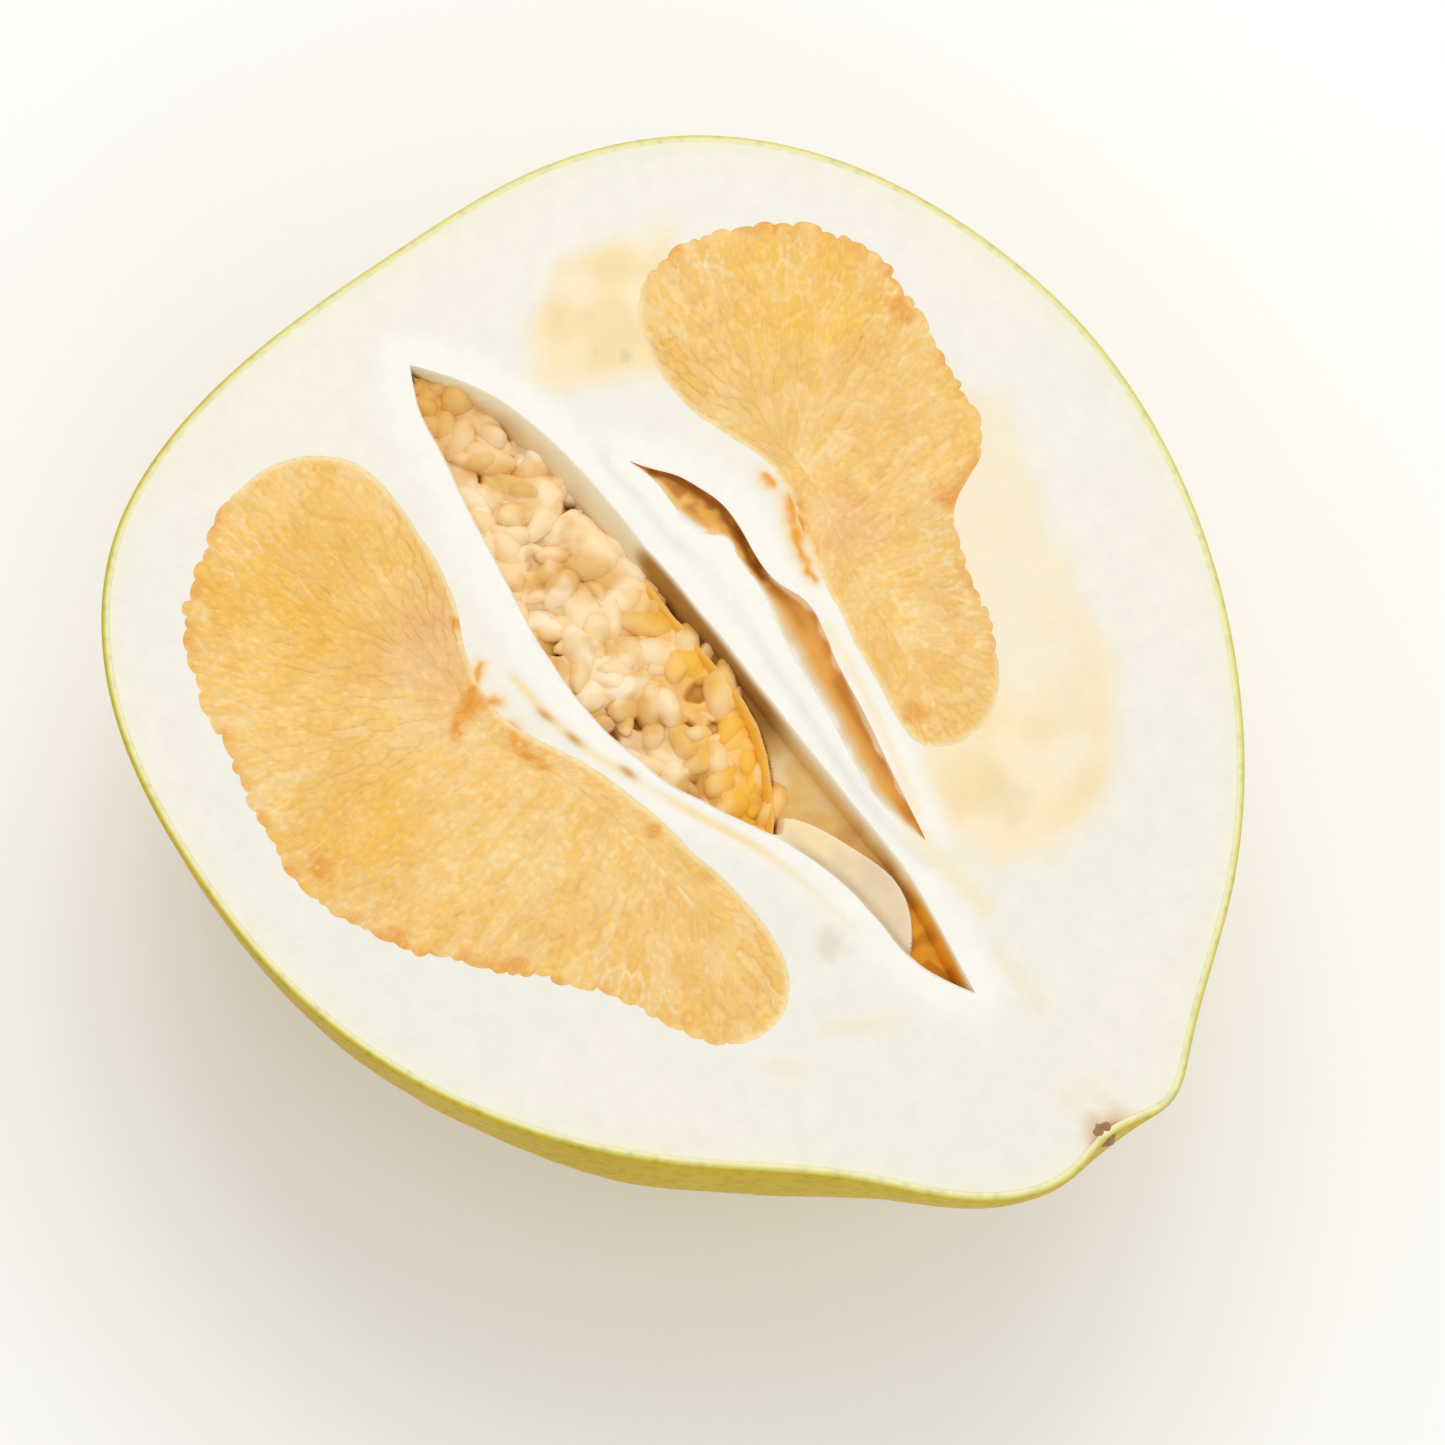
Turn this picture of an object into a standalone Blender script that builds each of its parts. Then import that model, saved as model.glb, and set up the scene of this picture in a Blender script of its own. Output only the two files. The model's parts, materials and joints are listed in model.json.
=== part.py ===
"""Half a pomelo, cut lengthwise through its stem and lying on its round side with the cut face up.

+X runs along the fruit's axis to the stem, +Z points up out of the cut face, and the origin is on the
surface that the half rests on, below the middle of its outline. Lengths below are in millimetres. Places
on the cut are measured from one point near its middle, and heights from the cut face.
"""

import math
import random

import bmesh
import bpy
import numpy as np
from mathutils import Matrix, Vector

MM = 0.001

# The cut through the rind's outer skin: from the blossom end (-X) over the far side (+Y) to the stem.
CUT_OUTLINE = [
    (-83, -15), (-81, 11), (-77.5, 32), (-66, 54), (-48, 68), (-26, 75.2), (-7.5, 76.7), (10.5, 74),
    (42.5, 59.3), (67.5, 35), (80, 15), (84, 7), (81.8, -2), (82.3, -9.5), (78.5, -19.5), (62, -33.5),
    (46, -48.5), (28, -62), (9.5, -70.3), (-10, -74), (-34, -72.5), (-57, -65.5), (-75.5, -49), (-81.8, -31),
]
REST_FLAT = 1.2  # how far the underside is pressed flat, which makes a spot about 12 mm in radius
RIND = 2.0
GAP = 0.3  # clearance between neighbouring pieces

# The two cut segments. A hilum is the point that a segment's juice sacs run out from.
LARGE_PULP = {
    "outline": [
        (-62, -16.5), (-50, -16), (-39, -18.5), (-28, -24), (-21, -25.5), (-8, -21.5), (12, -18.5),
        (28, -18.5), (37.5, -24.5), (36.5, -32), (24, -39), (7, -50), (-9, -60), (-24, -62.5),
        (-42, -57.5), (-57, -52), (-66, -40), (-69, -27),
    ],
    "hilum": (-22, -29),
    "depth": 30,
}
SMALL_PULP = {
    "outline": [
        (-53, 31), (-55, 38), (-52.5, 47.5), (-44, 57.5), (-31, 61), (-17, 57.5), (-4, 52.5),
        (-0.5, 44), (8.5, 38.5), (19, 34), (25.5, 25.5), (23, 17), (13.5, 17.2), (-4, 22),
        (-13, 25.5), (-22, 28), (-34, 25.5), (-46, 26.5),
    ],
    "hilum": (-16, 31),
    "depth": 27,
}
# Down a segment, shares of its depth, length and width.
PULP_BOWL = [(0, 1, 1), (0.3, 0.96, 0.96), (0.55, 0.86, 0.86), (0.8, 0.68, 0.68), (1, 0.4, 0.4)]
PULP_RIDGE = 0.55  # height of the juice sacs' ridges, which are fewer and larger than in life

# The open spaces between the segments, each a far and a near edge between two sharp tips.
OPENING = {
    "far": [
        (-66.4, -1.2), (-55, 4.2), (-42, 7), (-28, 7), (-14, 5.8), (1, 4.8), (14, 5), (28, 4), (40, 2),
        (53, -2.9),
    ],
    "near": [
        (-66.4, -1.2), (-57, -7.8), (-46, -11.2), (-32, -14.8), (-20, -16.8), (-6, -17), (8, -15), (21, -10.8),
        (31, -8.5), (43, -7.2), (53, -2.9),
    ],
    "depth": 3.0,
}
SAC_POCKET = {
    "far": [(-65, -1.4), (-55, 3), (-42, 5.8), (-28, 5.4), (-14, 4.2), (-2, 2.6), (9, -0.8), (18, -8.2)],
    "near": [
        (-65, -1.4), (-57, -6.6), (-46, -10), (-32, -13.6), (-20, -15.6), (-6, -15.8), (8, -13.4),
        (18, -8.2),
    ],
    "depth": 17.0,
}
CRESCENT = {
    "far": [(1, 4), (14, 4.2), (28, 3.2), (40, 1.2), (51.5, -3)],
    "near": [(1, 4), (13, -0.8), (21.5, -8.2), (31, -7), (43, -6), (51.5, -3)],
    "depth": 12.0,
}
SLIT = {
    "far": [
        (-34.5, 14), (-28.3, 17.6), (-20.4, 19.4), (-11.4, 18.2), (-2.7, 17.8), (10.4, 15.4), (22.7, 12),
        (30.5, 8.6),
    ],
    "near": [(-34.5, 14), (-25, 15.2), (-15.4, 15.4), (-0.7, 13.6), (12.3, 11), (22.9, 8.9), (30.5, 8.6)],
    "depth": 11.0,
}
# Down an open space, shares of its depth, length and width.
POCKET_DRAFT = [(0.2, 1, 1), (0.7, 0.96, 0.9), (1, 0.86, 0.62)]
OPEN_ABOVE = 4.0  # how far a cutter stands out of the cut face

# The sacs lying in the middle. Their lift is the height of a sac's centre over the bed.
LOOSE_SACS = {
    "bed_top": -9.5,
    "length": 10.0,
    "width": 5.6,
    "spacing": 4.2,
    "lift": (-0.4, 1.4),
    "tries": 900,
    "seed": 7,
}
STEM_STUB = {"end": (83, -2.5), "radius": 3.0, "length": 7.5}

DOME_SIDES = 40  # facets round the fruit's axis
DOME_RINGS = 28  # facets from the blossom end to the stem
PULP_SIDES = 78  # facets round a segment's outline
SIDES_A_SAC = 3
PULP_RINGS = 7  # facets from the outline to the hilum
LENS_STEPS = 32  # facets along each edge of an open space
LENS_RINGS = 6  # facets from an edge to the middle of the loose sacs

COLOURS = {
    "rind": (0.60, 0.53, 0.09),
    "pith": (0.90, 0.87, 0.80),
    "pulp": (0.88, 0.56, 0.20),
    "loose_sacs": (0.82, 0.62, 0.33),
    "stem_stub": (0.30, 0.19, 0.08),
}


def spline_through(points, count, closed=False):
    """Points of a smooth cubic curve through the given ones, evenly spaced along it."""
    knots = np.array(points, float)
    if closed:
        knots = np.vstack([knots, knots[:1]])
    spans = np.linalg.norm(np.diff(knots, axis=0), axis=1)
    slopes = np.diff(knots, axis=0) / spans[:, None]
    last = len(knots) - 1
    matrix = np.zeros((last + 1, last + 1))
    target = np.zeros_like(knots)
    for i in range(1, last):
        matrix[i, i - 1 : i + 2] = spans[i - 1], 2 * (spans[i - 1] + spans[i]), spans[i]
        target[i] = 6 * (slopes[i] - slopes[i - 1])
    if closed:
        matrix[0, 0], matrix[0, last] = 1, -1
        matrix[last, 0:2] = 2 * spans[0], spans[0]
        matrix[last, last - 1 : last + 1] += spans[-1], 2 * spans[-1]
        target[last] = 6 * (slopes[0] - slopes[-1])
    else:
        matrix[0, 0] = matrix[last, last] = 1
    bend = np.linalg.solve(matrix, target)
    travel = np.concatenate([[0], np.cumsum(spans)])
    at = np.linspace(0, travel[-1], count, endpoint=not closed)
    i = np.clip(np.searchsorted(travel, at, side="right") - 1, 0, last - 1)
    along, span = (at - travel[i])[:, None], spans[i][:, None]
    first = slopes[i] - span * (2 * bend[i] + bend[i + 1]) / 6
    return knots[i] + along * first + along**2 * bend[i] / 2 + along**3 * (bend[i + 1] - bend[i]) / (6 * span)


def segment_outline(segment):
    """A segment's outline at the cut, anticlockwise."""
    return spline_through(segment["outline"], PULP_SIDES, closed=True)[::-1] - middle


def lens_outline(lens):
    """An open space's outline at the cut, anticlockwise: the near edge out, and the far edge back."""
    far = spline_through(lens["far"], LENS_STEPS + 1)
    near = spline_through(lens["near"], LENS_STEPS + 1)
    return np.vstack([near[:-1], far[:0:-1]]) - middle


def grown(outline, by):
    """An anticlockwise outline moved outwards by a distance."""
    ahead = np.roll(outline, -1, axis=0) - np.roll(outline, 1, axis=0)
    outward = np.stack([ahead[:, 1], -ahead[:, 0]], axis=1)
    return outline + by * outward / np.linalg.norm(outward, axis=1)[:, None]


def shrunk(outline, length_share, width_share):
    """The outline drawn in towards its middle."""
    heart = outline.mean(axis=0)
    return heart + (outline - heart) * (length_share, width_share)


skin = spline_through(CUT_OUTLINE, 1440, closed=True)
middle = (skin.max(axis=0) + skin.min(axis=0)) / 2
skin -= middle
skin_angle = np.arctan2(skin[:, 1], skin[:, 0])
skin_reach = np.hypot(skin[:, 0], skin[:, 1])


def skin_at(angle):
    """The cut outline's distance from the middle, at an angle from the stem."""
    return np.interp(angle, skin_angle, skin_reach, period=2 * math.pi)


def reach(direction):
    """The skin's distance from the middle: the outline's two sides, turned about the axis and blended."""
    from_stem = math.acos(max(-1.0, min(1.0, direction.x)))
    across = math.hypot(direction.y, direction.z)
    far_share = 0.5 + 0.5 * direction.y / across if across > 1e-6 else 0.5
    return far_share * skin_at(from_stem) + (1 - far_share) * skin_at(-from_stem)


downwards = [Vector((math.cos(turn), 0, -math.sin(turn))) for turn in np.linspace(0, math.pi, 181)]
# The cut face's height above the surface that the half rests on.
REST_DEPTH = max(-reach(way) * way.z for way in downwards) - REST_FLAT


def material(name, roughness):
    """A plain Principled material for one tissue."""
    made = bpy.data.materials.new(name)
    made.use_nodes = True
    shader = made.node_tree.nodes["Principled BSDF"]
    shader.inputs["Base Color"].default_value = (*COLOURS[name], 1)
    shader.inputs["Roughness"].default_value = roughness
    made.diffuse_color = (*COLOURS[name], 1)
    return made


def new_object(name, bm, collection, surface=None):
    """An object from a bmesh in millimetres, with its faces turned outwards. A cutter has no surface."""
    bmesh.ops.recalc_face_normals(bm, faces=bm.faces)
    bm.transform(Matrix.Scale(MM, 4) @ Matrix.Translation((0, 0, REST_DEPTH)))
    mesh = bpy.data.meshes.new(name)
    bm.to_mesh(mesh)
    bm.free()
    made = bpy.data.objects.new(name, mesh)
    collection.objects.link(made)
    if surface:
        mesh.materials.append(surface)
    else:
        made.hide_render = True
        made.display_type = "WIRE"
    return made


def cut_by(target, cutter):
    """Takes the cutter's shape out of the target."""
    modifier = target.modifiers.new(cutter.name, "BOOLEAN")
    modifier.operation = "DIFFERENCE"
    modifier.object = cutter
    modifier.solver = "EXACT"


def whole_fruit(inset):
    """The uncut fruit's surface, moved inwards by inset and pressed flat underneath."""
    bm = bmesh.new()
    bmesh.ops.create_uvsphere(bm, u_segments=DOME_SIDES, v_segments=DOME_RINGS, radius=1)
    bm.transform(Matrix.Rotation(math.pi / 2, 4, "Y"))  # the sphere's poles become the stem and blossom ends
    for vert in bm.verts:
        vert.co *= reach(vert.co)
        vert.co.z = max(vert.co.z, -REST_DEPTH)
    bm.normal_update()
    for vert in bm.verts:
        vert.co -= inset * vert.normal
    return bm


def tube(bm, levels):
    """Walls through a stack of outlines, from the top one down, and the floor. Gives the top's vertices."""
    rings = []
    for outline, height in levels:
        rings.append([bm.verts.new((x, y, height)) for x, y in outline])
    for upper, lower in zip(rings, rings[1:]):
        for i in range(len(upper)):
            bm.faces.new((upper[i - 1], upper[i], lower[i], lower[i - 1]))
    bm.faces.new(rings[-1])
    return rings[0]


def relief(bm, rim, roots, rings, height):
    """A lid from the rim in to each rim vertex's root, raised by height(side, ring, place)."""
    outer = rim
    for ring in range(rings - 1, -1, -1):
        inner = []
        for side, (edge, root) in enumerate(zip(rim, roots)):
            if ring == 0 or root is edge:
                inner.append(root)
                continue
            place = root.co.lerp(edge.co, ring / rings)
            place.z = height(side, ring, place)
            inner.append(bm.verts.new(place))
        for i in range(len(rim)):
            corners = dict.fromkeys((outer[i - 1], outer[i], inner[i], inner[i - 1]))
            if len(corners) > 2:
                bm.faces.new(tuple(corners))
        outer = inner


def levels_down(outline, narrowing, top, depth, clearance=0.0):
    """Outlines from the top down to a depth, each narrowed by its share of that depth."""
    depth_shares, length_shares, width_shares = zip(*narrowing)
    levels = []
    for height in [top] + [-depth * share for share in depth_shares if -depth * share < top]:
        share = -height / depth
        length = np.interp(share, depth_shares, length_shares)
        width = np.interp(share, depth_shares, width_shares)
        levels.append((grown(shrunk(outline, length, width), clearance), height))
    return levels


def pulp(name, segment, collection, surface):
    """One cut segment: a bowl-shaped body whose top is ridged by the sacs that run out from the hilum."""

    def ridge(side, ring, place):
        sac, step = divmod(side, SIDES_A_SAC)
        crest = math.sin(math.pi * (step + 0.5) / SIDES_A_SAC)
        end_to_end = 0.2 * math.cos(2.4 * ring + 2.1 * sac)
        return PULP_RIDGE * (crest - 1.1 + end_to_end)

    bm = bmesh.new()
    rim = tube(bm, levels_down(segment_outline(segment), PULP_BOWL, -PULP_RIDGE, segment["depth"]))
    x, y = segment["hilum"] - middle
    hilum = bm.verts.new((x, y, -PULP_RIDGE))
    relief(bm, rim, [hilum] * PULP_SIDES, PULP_RINGS, ridge)
    return new_object(name, bm, collection, surface)


def pocket(name, lens, collection):
    """The cutter for an open space."""
    bm = bmesh.new()
    bm.faces.new(tube(bm, levels_down(lens_outline(lens), POCKET_DRAFT, OPEN_ABOVE, lens["depth"])))
    return new_object(name, bm, collection)


def scattered_sacs():
    """Seeded places, directions and lifts for the loose sacs."""
    draw = random.Random(LOOSE_SACS["seed"])
    outline = lens_outline(SAC_POCKET)
    low, high = outline.min(axis=0), outline.max(axis=0)
    sacs = []
    for _ in range(LOOSE_SACS["tries"]):
        x, y = draw.uniform(low[0], high[0]), draw.uniform(low[1], high[1])
        turn, lift = draw.uniform(-0.9, 0.9), draw.uniform(*LOOSE_SACS["lift"])
        if all(math.hypot(x - a, y - b) > LOOSE_SACS["spacing"] for a, b, _, _ in sacs):
            sacs.append((x, y, turn, lift))
    return sacs


def loose_sacs(name, collection, surface):
    """The bed of juice sacs that fills the lower half of its pocket, with the topmost ones standing out."""
    sacs = scattered_sacs()
    half_length, half_width = LOOSE_SACS["length"] / 2, LOOSE_SACS["width"] / 2

    def topmost(side, ring, place):
        tops = [0.0]
        for x, y, turn, lift in sacs:
            along = ((place.x - x) * math.cos(turn) + (place.y - y) * math.sin(turn)) / half_length
            across = ((place.y - y) * math.cos(turn) - (place.x - x) * math.sin(turn)) / half_width
            left = 1 - along**2 - across**2
            if left > 0:
                tops.append(lift + half_width * math.sqrt(left))
        return LOOSE_SACS["bed_top"] + max(tops)

    bm = bmesh.new()
    depth = SAC_POCKET["depth"] - GAP
    rim = tube(bm, levels_down(lens_outline(SAC_POCKET), POCKET_DRAFT, LOOSE_SACS["bed_top"], depth, -GAP))
    spine = {0: rim[0], LENS_STEPS: rim[LENS_STEPS]}
    for step in range(1, LENS_STEPS):
        place = rim[step].co.lerp(rim[-step].co, 0.5)
        place.z = topmost(step, 0, place)
        spine[step] = bm.verts.new(place)
    roots = [spine[min(side, len(rim) - side)] for side in range(len(rim))]
    relief(bm, rim, roots, LENS_RINGS, topmost)
    return new_object(name, bm, collection, surface)


def stem_cylinder(name, collection, surface, clearance, outwards):
    """The dry stem along the fruit's axis, or the room for it, which stands further out."""
    x, y = STEM_STUB["end"] - middle
    length = STEM_STUB["length"] + clearance + outwards
    radius = STEM_STUB["radius"] + clearance
    bm = bmesh.new()
    bmesh.ops.create_cone(bm, segments=20, radius1=radius, radius2=radius, depth=length, cap_ends=True)
    heart = Matrix.Translation((x + outwards - length / 2, y, 0))
    bm.transform(heart @ Matrix.Rotation(math.pi / 2, 4, "Y"))
    return new_object(name, bm, collection, surface)


def upper_half(collection):
    """The block that takes the fruit's other half away."""
    size = 4 * REST_DEPTH
    bm = bmesh.new()
    bmesh.ops.create_cube(bm, size=size)
    bm.transform(Matrix.Translation((0, 0, size / 2)))
    return new_object("upper_half", bm, collection)


def main():
    for old in list(bpy.data.objects):
        bpy.data.objects.remove(old)
    parts = bpy.data.collections.new("pomelo_half")
    cutters = bpy.data.collections.new("cutters")
    for collection in (parts, cutters):
        bpy.context.scene.collection.children.link(collection)

    half_knife = upper_half(cutters)
    stem_room = stem_cylinder("stem_room", cutters, None, GAP, OPEN_ABOVE)

    rind = new_object("rind", whole_fruit(0.0), parts, material("rind", 0.4))
    wall = rind.modifiers.new("wall", "SOLIDIFY")
    wall.thickness = RIND * MM
    wall.offset = -1

    pith = new_object("pith", whole_fruit(RIND + GAP), parts, material("pith", 0.75))
    for piece in (rind, pith):
        cut_by(piece, half_knife)
        cut_by(piece, stem_room)
        piece.data.shade_smooth()

    pulp_finish = material("pulp", 0.35)
    for name, segment in (("pulp_large", LARGE_PULP), ("pulp_small", SMALL_PULP)):
        bm = bmesh.new()
        depth = segment["depth"] + GAP
        bm.faces.new(tube(bm, levels_down(segment_outline(segment), PULP_BOWL, OPEN_ABOVE, depth, GAP)))
        cut_by(pith, new_object(name + "_room", bm, cutters))
        pulp(name, segment, parts, pulp_finish)
    spaces = {"opening": OPENING, "sac_pocket": SAC_POCKET, "crescent": CRESCENT, "slit": SLIT}
    for name, lens in spaces.items():
        cut_by(pith, pocket(name, lens, cutters))

    loose_sacs("loose_sacs", parts, material("loose_sacs", 0.3))
    stem = stem_cylinder("stem_stub", parts, material("stem_stub", 0.85), 0.0, 0.0)
    cut_by(stem, half_knife)


main()
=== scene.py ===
import itertools
import json
import math

import bmesh
import bpy
import numpy as np
from mathutils import Matrix, Vector
from mathutils.geometry import delaunay_2d_cdt

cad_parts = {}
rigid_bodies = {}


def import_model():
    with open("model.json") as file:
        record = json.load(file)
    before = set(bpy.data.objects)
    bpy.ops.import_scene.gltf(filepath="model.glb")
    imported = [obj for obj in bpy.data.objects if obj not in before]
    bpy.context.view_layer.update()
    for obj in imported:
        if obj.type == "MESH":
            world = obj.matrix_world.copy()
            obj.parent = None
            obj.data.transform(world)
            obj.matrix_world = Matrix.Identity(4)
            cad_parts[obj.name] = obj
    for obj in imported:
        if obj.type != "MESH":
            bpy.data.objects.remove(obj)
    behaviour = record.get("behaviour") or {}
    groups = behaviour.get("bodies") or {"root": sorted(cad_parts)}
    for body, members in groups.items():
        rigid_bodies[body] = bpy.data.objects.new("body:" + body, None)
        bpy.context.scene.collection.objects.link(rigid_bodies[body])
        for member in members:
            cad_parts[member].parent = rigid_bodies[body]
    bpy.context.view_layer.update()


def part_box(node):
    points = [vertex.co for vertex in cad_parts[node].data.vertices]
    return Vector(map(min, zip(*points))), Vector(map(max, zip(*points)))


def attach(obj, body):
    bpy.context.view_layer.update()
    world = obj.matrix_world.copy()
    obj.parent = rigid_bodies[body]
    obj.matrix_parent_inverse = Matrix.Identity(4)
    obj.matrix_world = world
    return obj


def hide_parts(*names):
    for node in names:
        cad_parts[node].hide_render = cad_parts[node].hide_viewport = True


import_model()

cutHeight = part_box("pith")[1].z * 1000  # everything below is in millimetres over the cut face
print("frame loaded, cut face at", round(cutHeight, 2), "mm")

# The fruit's outline at the cut, round from the blossom end (-X) over the far side to the stem.
fruit = {
    "outline": [
        (-83, -15), (-81, 11), (-77.5, 32), (-66, 54), (-48, 68), (-26, 75.2), (-7.5, 76.7), (10.5, 74),
        (42.5, 59.3), (67.5, 35), (80, 15), (84, 7), (81.8, -2), (82.3, -9.5), (78.5, -19.5), (62, -33.5),
        (46, -48.5), (28, -62), (9.5, -70.3), (-10, -74), (-34, -72.5), (-57, -65.5), (-75.5, -49),
        (-81.8, -31),
    ],
    "roundSteps": 520,
    "downSteps": 150,
    "innerSteps": 16,
    "skin": 1.1,  # the coloured skin as the cut shows it
    "lumps": 0.45,
    "bulge": 2.6,  # how far the near side swells below the cut
}


# small helpers for shapes

def smoothCurve(points, count, closed=False):
    # a cubic curve through the points, evenly spaced
    knots = np.array(points, float)
    if closed:
        knots = np.vstack([knots, knots[:1]])
    spans = np.linalg.norm(np.diff(knots, axis=0), axis=1)
    slopes = np.diff(knots, axis=0) / spans[:, None]
    last = len(knots) - 1
    matrix = np.zeros((last + 1, last + 1))
    target = np.zeros_like(knots)
    for i in range(1, last):
        matrix[i, i - 1 : i + 2] = spans[i - 1], 2 * (spans[i - 1] + spans[i]), spans[i]
        target[i] = 6 * (slopes[i] - slopes[i - 1])
    if closed:
        matrix[0, 0], matrix[0, last] = 1, -1
        matrix[last, 0:2] = 2 * spans[0], spans[0]
        matrix[last, last - 1 : last + 1] += spans[-1], 2 * spans[-1]
        target[last] = 6 * (slopes[0] - slopes[-1])
    else:
        matrix[0, 0] = matrix[last, last] = 1
    bend = np.linalg.solve(matrix, target)
    travel = np.concatenate([[0], np.cumsum(spans)])
    at = np.linspace(0, travel[-1], count, endpoint=not closed)
    i = np.clip(np.searchsorted(travel, at, side="right") - 1, 0, last - 1)
    along, span = (at - travel[i])[:, None], spans[i][:, None]
    first = slopes[i] - span * (2 * bend[i] + bend[i + 1]) / 6
    return knots[i] + along * first + along**2 * bend[i] / 2 + along**3 * (bend[i + 1] - bend[i]) / (6 * span)


def ramp(value, low, high):
    share = np.clip((np.asarray(value, float) - low) / (high - low), 0, 1)
    return share * share * (3 - 2 * share)


def bell(distance, width):
    # 1 at no distance, falling away over that width
    return np.exp(-(distance / width) ** 2)


def softNoise(places, size, seed):
    # smooth seeded noise from -1 to 1, with lumps of about that size
    scaled = np.asarray(places, float) / size
    cell = np.floor(scaled).astype(np.int64)
    part = scaled - cell
    part = part * part * (3 - 2 * part)
    total = np.zeros(len(scaled))
    for corner in itertools.product((0, 1), repeat=scaled.shape[1]):
        key = (cell + corner) @ np.array([73856093, 19349663, 83492791])[: scaled.shape[1]] + seed * 7919
        key = (key ^ (key >> 13)) * 1274126177 & 0x7FFFFFFF
        key = (key ^ (key >> 11)) * 668265263 & 0x7FFFFFFF
        value = ((key >> 7) & 0xFFFF) / 32767.5 - 1
        total += value * np.prod(np.where(corner, part, 1 - part), axis=1)
    return total


def drift(places, size, seed):
    # a small sideways wander in x and y
    return np.stack([softNoise(places, size, seed), softNoise(places, size, seed + 1)], axis=1)


def lineField(places, line, closed=False):
    # distance to a line, the side of it (left is +1), and how far along it
    points = np.vstack([line, line[:1]]) if closed else np.asarray(line, float)
    nearest = np.full(len(places), np.inf)
    side = np.ones(len(places))
    along = np.zeros(len(places))
    travelled = 0.0
    for start, end in zip(points[:-1], points[1:]):
        step = end - start
        length = math.hypot(*step)
        offset = places - start
        share = np.clip(offset @ step / length**2, 0, 1)
        distance = np.hypot(*(offset - share[:, None] * step).T)
        closer = distance < nearest
        nearest[closer] = distance[closer]
        side[closer] = np.sign(step[0] * offset[closer, 1] - step[1] * offset[closer, 0])
        along[closer] = travelled + share[closer] * length
        travelled += length
    return nearest, side, along


def isInside(places, loop):
    x, y = places.T
    inside = np.zeros(len(places), bool)
    for (ax, ay), (bx, by) in zip(loop, np.roll(loop, -1, axis=0)):
        if ay != by:
            inside ^= ((ay > y) != (by > y)) & (x < (bx - ax) * (y - ay) / (by - ay) + ax)
    return inside


def patch(places, loop, soft):
    # 1 well inside a closed loop, 0 well outside
    distance = lineField(places, loop, True)[0]
    return ramp(np.where(isInside(places, loop), distance, -distance), -soft, soft)


def outwards(loop):
    ahead = np.roll(loop, -1, axis=0) - np.roll(loop, 1, axis=0)
    normal = np.stack([ahead[:, 1], -ahead[:, 0]], axis=1)
    return normal / np.linalg.norm(normal, axis=1)[:, None]


def ringFaces(first, second):
    # quads between two closed rings of point numbers
    return np.stack([first, np.roll(first, -1), np.roll(second, -1), second], axis=1).tolist()


def linear(hexColour):
    # sRGB hex to linear light
    values = [int(hexColour[i : i + 2], 16) / 255 for i in (1, 3, 5)]
    return [v / 12.92 if v <= 0.04045 else ((v + 0.055) / 1.055) ** 2.4 for v in values]


def mixIn(tint, hexColour, share):
    return tint + (np.array(linear(hexColour)) - tint) * np.clip(share, 0, 1)[:, None]


def layered(tint, layers):
    for hexColour, share in layers:
        tint = mixIn(tint, hexColour, share)
    return tint


def makePiece(name, places, faces, finishes, tint=None, flow=None, extras=None):
    # a mesh in millimetres over the cut becomes a piece in metres, its faces outwards
    mesh = bpy.data.meshes.new(name)
    mesh.from_pydata(places.tolist(), [], faces)
    bm = bmesh.new()
    bm.from_mesh(mesh)
    bmesh.ops.recalc_face_normals(bm, faces=bm.faces)
    bm.transform(Matrix.Scale(0.001, 4) @ Matrix.Translation((0, 0, cutHeight)))
    bm.to_mesh(mesh)
    bm.free()
    if tint is not None:
        layer = mesh.attributes.new("tint", "FLOAT_COLOR", "POINT")
        layer.data.foreach_set("color", np.hstack([tint, np.ones((len(tint), 1))]).astype(np.float32).ravel())
    if flow is not None:
        layer = mesh.attributes.new("flow", "FLOAT_VECTOR", "POINT")
        layer.data.foreach_set("vector", flow.astype(np.float32).ravel())
    for label, values in (extras or {}).items():
        mesh.attributes.new(label, "FLOAT", "POINT").data.foreach_set("value", values.astype(np.float32))
    for finish in finishes:
        mesh.materials.append(finish)
    mesh.shade_smooth()
    mesh.set_sharp_from_angle(angle=math.radians(55))
    piece = bpy.data.objects.new(name, mesh)
    bpy.context.scene.collection.objects.link(piece)
    return piece


def addNode(tree, kind, inputs=None, **settings):
    node = tree.nodes.new(kind)
    for key, value in settings.items():
        setattr(node, key, value)
    for key, value in (inputs or {}).items():
        if isinstance(value, bpy.types.NodeSocket):
            tree.links.new(value, node.inputs[key])
        else:
            isColour = isinstance(value, str) and value.startswith("#")
            node.inputs[key].default_value = (*linear(value), 1) if isColour else value
    return node


def newFinish(name):
    finish = bpy.data.materials.new(name)
    finish.use_nodes = True
    tree = finish.node_tree
    tree.nodes.clear()
    return finish, tree


# the fruit's round form

skinLine = smoothCurve(fruit["outline"], 2000, True)
middle = (skinLine.max(axis=0) + skinLine.min(axis=0)) / 2
skinLine = skinLine - middle
low, high = (np.array(corner) * 1000 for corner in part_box("rind"))
for axis in (0, 1):
    side = skinLine[:, axis]
    skinLine[:, axis] = np.where(
        side > 0, side * (high[axis] - 0.1) / side.max(), side * (low[axis] + 0.1) / side.min()
    )
skinAngle = np.arctan2(skinLine[:, 1], skinLine[:, 0])
skinReach = np.hypot(skinLine[:, 0], skinLine[:, 1])
order = np.argsort(skinAngle)
skinAngle, skinReach = skinAngle[order], skinReach[order]


def skinAt(angle):
    return np.interp(angle, skinAngle, skinReach, period=2 * math.pi)


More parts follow.
